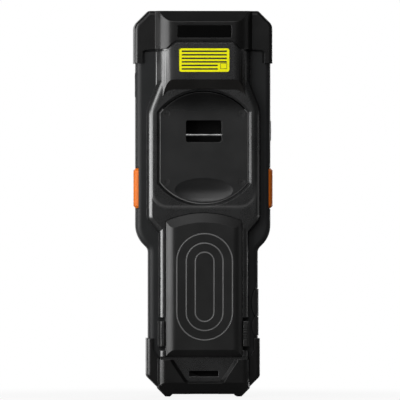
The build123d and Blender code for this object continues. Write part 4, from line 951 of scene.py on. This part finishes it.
def sign_mesh(strokes, face, width, height):
    """Strokes, each a list of points in millimetres and whether it closes, as one mesh."""
    bm = bmesh.new()
    for points, closed in strokes:
        stroke(bm, [(x * MM, y * MM) for x, y in points], width, closed)
    return raise_and_place(bm, face, height)


def turned(points, quarter_turns):
    """Points turned anticlockwise about the middle."""
    for _ in range(quarter_turns):
        points = [(-y, x) for x, y in points]
    return points


print("digit size in mm:", DIGIT_SIZE / MM)

# %% What each sign looks like
TRIANGLE = [(-1.3, -0.8), (1.3, -0.8), (0, 1.1)]
RING = circle(2)
SIGNS = {
    "up_key": [(TRIANGLE, True)],
    "left_key": [(turned(TRIANGLE, 1), True)],
    "down_key": [(turned(TRIANGLE, 2), True)],
    "right_key": [(turned(TRIANGLE, 3), True)],
    "back_key": [
        ([(2.2, 1.2), (-0.8, 1.2), (-2.2, 0), (-0.8, -1.2), (2.2, -1.2)], True),
        ([(-0.1, 0.5), (1.0, -0.5)], False),
        ([(-0.1, -0.5), (1.0, 0.5)], False),
    ],
    "tab_key": [
        ([(-2.0, 0), (1.2, 0)], False),
        ([(0.3, 0.9), (1.3, 0), (0.3, -0.9)], False),
        ([(1.9, 1.1), (1.9, -1.1)], False),
    ],
    "function_key": [([(0, 1.3), (1.3, 0), (0, -1.3), (-1.3, 0)], True)],
    "point_key": [([(-0.25, -1.2), (0.25, -1.2)], False)],
    "minus_key": [([(-1.3, 0), (1.3, 0)], False)],
    "enter_key": [
        ([(1.8, 1.2), (1.8, -0.3), (-1.5, -0.3)], False),
        ([(-0.6, 0.7), (-1.7, -0.3), (-0.6, -1.3)], False),
    ],
    "scan_key": [
        (RING, True),
        ([(-3.0, 0), (-1.0, 0)], False),
        ([(1.0, 0), (3.0, 0)], False),
        ([(0, -3.0), (0, -1.0)], False),
        ([(0, 1.0), (0, 3.0)], False),
    ],
}
print("drawn signs:", len(SIGNS))

# %% Put the signs on the keys
for node in KEY_NODES:
    face = key_face(node)
    if node in SIGNS:
        mesh = sign_mesh(SIGNS[node], face, SIGN_WIDTH, INK)
    else:
        mesh = digit_mesh(node[-1], face)
    ink = label_ink if node == "scan_key" else legend_ink
    finish_piece(f"{node}_sign", mesh, ink, node)
print("signs:", len(KEY_NODES))

# %% [markdown]
# ## Signs on the side keys
# The power key and the volume rocker carry the usual signs, moulded a little proud of the rubber
# so that a thumb finds them in the dark. A bump would be cheaper, but it can't throw a shadow, so
# they are the same strokes as the ink, only thicker and in the key's own rubber.

# %% Raised signs
RAISED = 0.12 * MM
RAISED_WIDTH = 0.35 * MM
VOLUME_SPREAD = 4.6 * MM        # from the middle of the rocker to each of its signs


def side_face(node, side, height):
    """The outer face of a side key, at a height above its middle."""
    low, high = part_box(node)
    x = high.x if side > 0 else low.x
    middle = Vector((x, (low.y + high.y) / 2, (low.z + high.z) / 2 + height))
    return Face(middle, (0, side, 0), (0, 0, 1))


def raised_sign(name, node, side, height, strokes):
    """A moulded sign on a side key; side is 1 on the right and -1 on the left."""
    mesh = sign_mesh(strokes, side_face(node, side, height), RAISED_WIDTH, RAISED)
    finish_piece(name, mesh, key_rubber, node)


open_ring = circle(1.3, 30, math.radians(125), math.radians(290))
power = [(open_ring, False), ([(0, 0.2), (0, 1.7)], False)]
minus = [([(-1, 0), (1, 0)], False)]
plus = minus + [([(0, -1), (0, 1)], False)]
raised_sign("power_sign", "power_key", 1, 0, power)
raised_sign("volume_up_sign", "volume_key", -1, VOLUME_SPREAD, plus)
raised_sign("volume_down_sign", "volume_key", -1, -VOLUME_SPREAD, minus)
print("raised signs stand out in mm:", RAISED / MM)

# %% [markdown]
# ## The printed border under the glass
# A black print hides the edge of the panel. A darker edge in the glass itself would tint its
# reflections too, so the print is a thin ring of ink at the back of the window: a large rounded
# rectangle with a smaller one cut out.

# %% Window print
BORDER_SIDE = 5.2 * MM          # from the edge of the glass to the picture area
BORDER_INSET = 0.3 * MM         # from the edge of the glass to the print
BORDER_LIFT = 0.02 * MM         # keeps the print just inside the back of the glass
OUTER_CORNER = 2.6 * MM
INNER_CORNER = 0.6 * MM

low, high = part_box("display_window")
width, _, height = high - low
back_of_glass = low.y + BORDER_LIFT
window_face = Face(((low.x + high.x) / 2, back_of_glass, (low.z + high.z) / 2), (-1, 0, 0), (0, 0, 1))
outer = rounded_rectangle(width - 2 * BORDER_INSET, height - 2 * BORDER_INSET, OUTER_CORNER)
inner = rounded_rectangle(width - 2 * BORDER_SIDE, height - 2 * BORDER_SIDE, INNER_CORNER)
bm = bmesh.new()
outer_ring = [bm.verts.new((x, y, 0)) for x, y in outer]
inner_ring = [bm.verts.new((x, y, 0)) for x, y in inner]
for i in range(len(outer)):
    bm.faces.new((outer_ring[i - 1], outer_ring[i], inner_ring[i], inner_ring[i - 1]))
finish_piece("window_border", raise_and_place(bm, window_face, INK), border_print, "root")
print("window in mm:", round(width / MM, 1), round(height / MM, 1))

# %% [markdown]
# ## The studio
# The ground and everything behind the terminal is pure white. White that comes from more light
# would wash out the dark plastic, so the floor glows white only for rays that come straight from
# the camera or through the glass, and the lamps keep a plain level. Near the terminal the floor
# mixes that white with a real matt surface, so it still takes a shadow. What mirrors the floor sees
# a darker paper close by and white further out, and a backdrop that the camera doesn't see gives
# the glossy pieces something bright to mirror. The rest of the room is dim, as behind the lamps of
# a real studio, and keeps the faces that look at it dark.

# %% Sheets of paper that look white
FLOOR_LEFT, FLOOR_RIGHT = -0.35, 3.0    # all in metres
FLOOR_REAR, FLOOR_FRONT = -0.3, 3.0
BACKDROP_LEFT, BACKDROP_RIGHT = -1.0, 4.0
BACKDROP_TOP = 5.0
FLOOR_NEAR = 0.8                # share of plain white in the floor close to the terminal
FLOOR_GLOW = 1.12               # a little over 1 where the floor mixes it with its matt surface
FLOOR_PAPER = 0.2               # the matt grey under the floor's white
BACKDROP_PAPER = 0.9
SHADOW_REACH = (0.08, 0.28)     # distances over which the mix fades out
MIRROR_REACH = (0.3, 0.9)       # distances over which the floor turns white for what mirrors it
DIRECT_RAYS = ("Is Camera Ray", "Is Transmission Ray")


def is_one_of(finish, rays):
    """1 for these kinds of ray and 0 for all others."""
    found = 0.0
    for ray in rays:
        found = finish.node("ShaderNodeLightPath", output=ray).at_least(found)
    return found


def white_sheet(name, corners, paper_grey, near=1.0, near_in_gloss=1.0):
    """A staged sheet of paper that looks white; near is the share of white in its middle."""
    mesh = bpy.data.meshes.new(name)
    mesh.from_pydata(corners, [], [(0, 1, 2, 3)])
    sheet = bpy.data.objects.new(name, mesh)
    bpy.context.scene.collection.objects.link(sheet)
    paper = Finish(f"{name}_paper")
    paper.set({"Base Color": grey(paper_grey), "Roughness": 0.9, "Specular IOR Level": 0.2})
    x, y, _ = paper.axes()
    away = (x ** 2 + y ** 2) ** 0.5
    far = away.step(*SHADOW_REACH)
    direct = is_one_of(paper, DIRECT_RAYS) * (near + far * (1 - near))
    white_in_gloss = near_in_gloss + away.step(*MIRROR_REACH) * (1 - near_in_gloss)
    mirrored = is_one_of(paper, ["Is Glossy Ray"]) * white_in_gloss
    glow = paper.node("ShaderNodeEmission", values={"Color": FLOOR_GLOW - far * (FLOOR_GLOW - 1)})
    matt = Value(paper, paper.shader.outputs[0])
    mixed = paper.node("ShaderNodeMixShader", values=[direct.at_least(mirrored), matt, glow])
    paper.plug(paper.tree.nodes["Material Output"].inputs["Surface"], mixed)
    mesh.materials.append(paper.material)
    return sheet


print("floor in m:", FLOOR_RIGHT - FLOOR_LEFT, "by", FLOOR_FRONT - FLOOR_REAR)

# %% Floor and backdrop
floor_corners = [
    (FLOOR_LEFT, FLOOR_REAR, 0),
    (FLOOR_RIGHT, FLOOR_REAR, 0),
    (FLOOR_RIGHT, FLOOR_FRONT, 0),
    (FLOOR_LEFT, FLOOR_FRONT, 0),
]
white_sheet("floor", floor_corners, FLOOR_PAPER, near=FLOOR_NEAR, near_in_gloss=0.0)
backdrop_corners = [
    (BACKDROP_LEFT, FLOOR_FRONT, 0),
    (BACKDROP_RIGHT, FLOOR_FRONT, 0),
    (BACKDROP_RIGHT, FLOOR_FRONT, BACKDROP_TOP),
    (BACKDROP_LEFT, FLOOR_FRONT, BACKDROP_TOP),
]
backdrop = white_sheet("backdrop", backdrop_corners, BACKDROP_PAPER)
backdrop.visible_camera = False         # it would hide the terminal from a camera in front of it
print("backdrop in m:", BACKDROP_RIGHT - BACKDROP_LEFT, "by", BACKDROP_TOP)

# %% Room
AMBIENT = 0.12                  # how brightly the dim room lights what stands in it
ROOM_GLOSS = 0.06               # how bright it is in reflections


class Room(Finish):
    """The world's node tree, wired like a finish."""

    def __init__(self):
        world = bpy.data.worlds.new("studio")
        bpy.context.scene.world = world
        world.use_nodes = True
        self.tree = world.node_tree
        self.shader = self.tree.nodes["Background"]


room = Room()
open_air = is_one_of(room, DIRECT_RAYS)
dim = AMBIENT + is_one_of(room, ["Is Glossy Ray"]) * (ROOM_GLOSS - AMBIENT)
room.set({"Color": dim + open_air * (1 - dim), "Strength": 1.0})
print("room light:", AMBIENT, "and in reflections:", ROOM_GLOSS)

# %% [markdown]
# ## The lamps
# A dark object is lit by what it reflects. A tall soft box stands to the left and draws a long
# bright band in every rounded edge. A shorter one further round lights only what turns to the side,
# and hangs so low that the flat top hardly mirrors it. A broad weak one beside the camera lifts the
# flats, and one high above it catches the slopes that look up. The last two stand on the side of
# the screen and keep that side and the right flank from going black.

# %% Lamps
def soft_box(name, azimuth, elevation, distance, size, power):
    """A rectangular lamp that looks at the middle of the view; the sizes are in metres."""
    light = bpy.data.lights.new(name, "AREA")
    light.shape = "RECTANGLE"
    light.size, light.size_y = size
    light.energy = power
    lamp = bpy.data.objects.new(name, light)
    bpy.context.scene.collection.objects.link(lamp)
    turn = math.radians(azimuth)
    rise = math.radians(elevation)
    out = Vector((math.sin(turn) * math.cos(rise), -math.cos(turn) * math.cos(rise), math.sin(rise)))
    lamp.location = VIEW_CENTRE + out * distance
    lamp.rotation_mode = "QUATERNION"
    lamp.rotation_quaternion = (-out).to_track_quat("-Z", "Y")
    print(name, "at", [round(c, 2) for c in lamp.location])


soft_box("key_light", azimuth=-53, elevation=6, distance=1.3, size=(0.8, 1.4), power=18)
soft_box("side_light", azimuth=-84, elevation=-8, distance=1.3, size=(0.75, 0.7), power=12)
soft_box("front_light", azimuth=-8, elevation=25, distance=1.8, size=(1.2, 0.9), power=5)
soft_box("high_light", azimuth=-5, elevation=53, distance=1.8, size=(0.8, 0.6), power=6)
soft_box("fill_light", azimuth=142, elevation=-4, distance=1.5, size=(0.6, 0.8), power=8)
soft_box("back_light", azimuth=165, elevation=40, distance=1.8, size=(1.2, 0.8), power=14)

# %% [markdown]
# ## Colour
# The Standard view shows a colour as it is written.

# %% View
bpy.context.scene.view_settings.view_transform = "Standard"
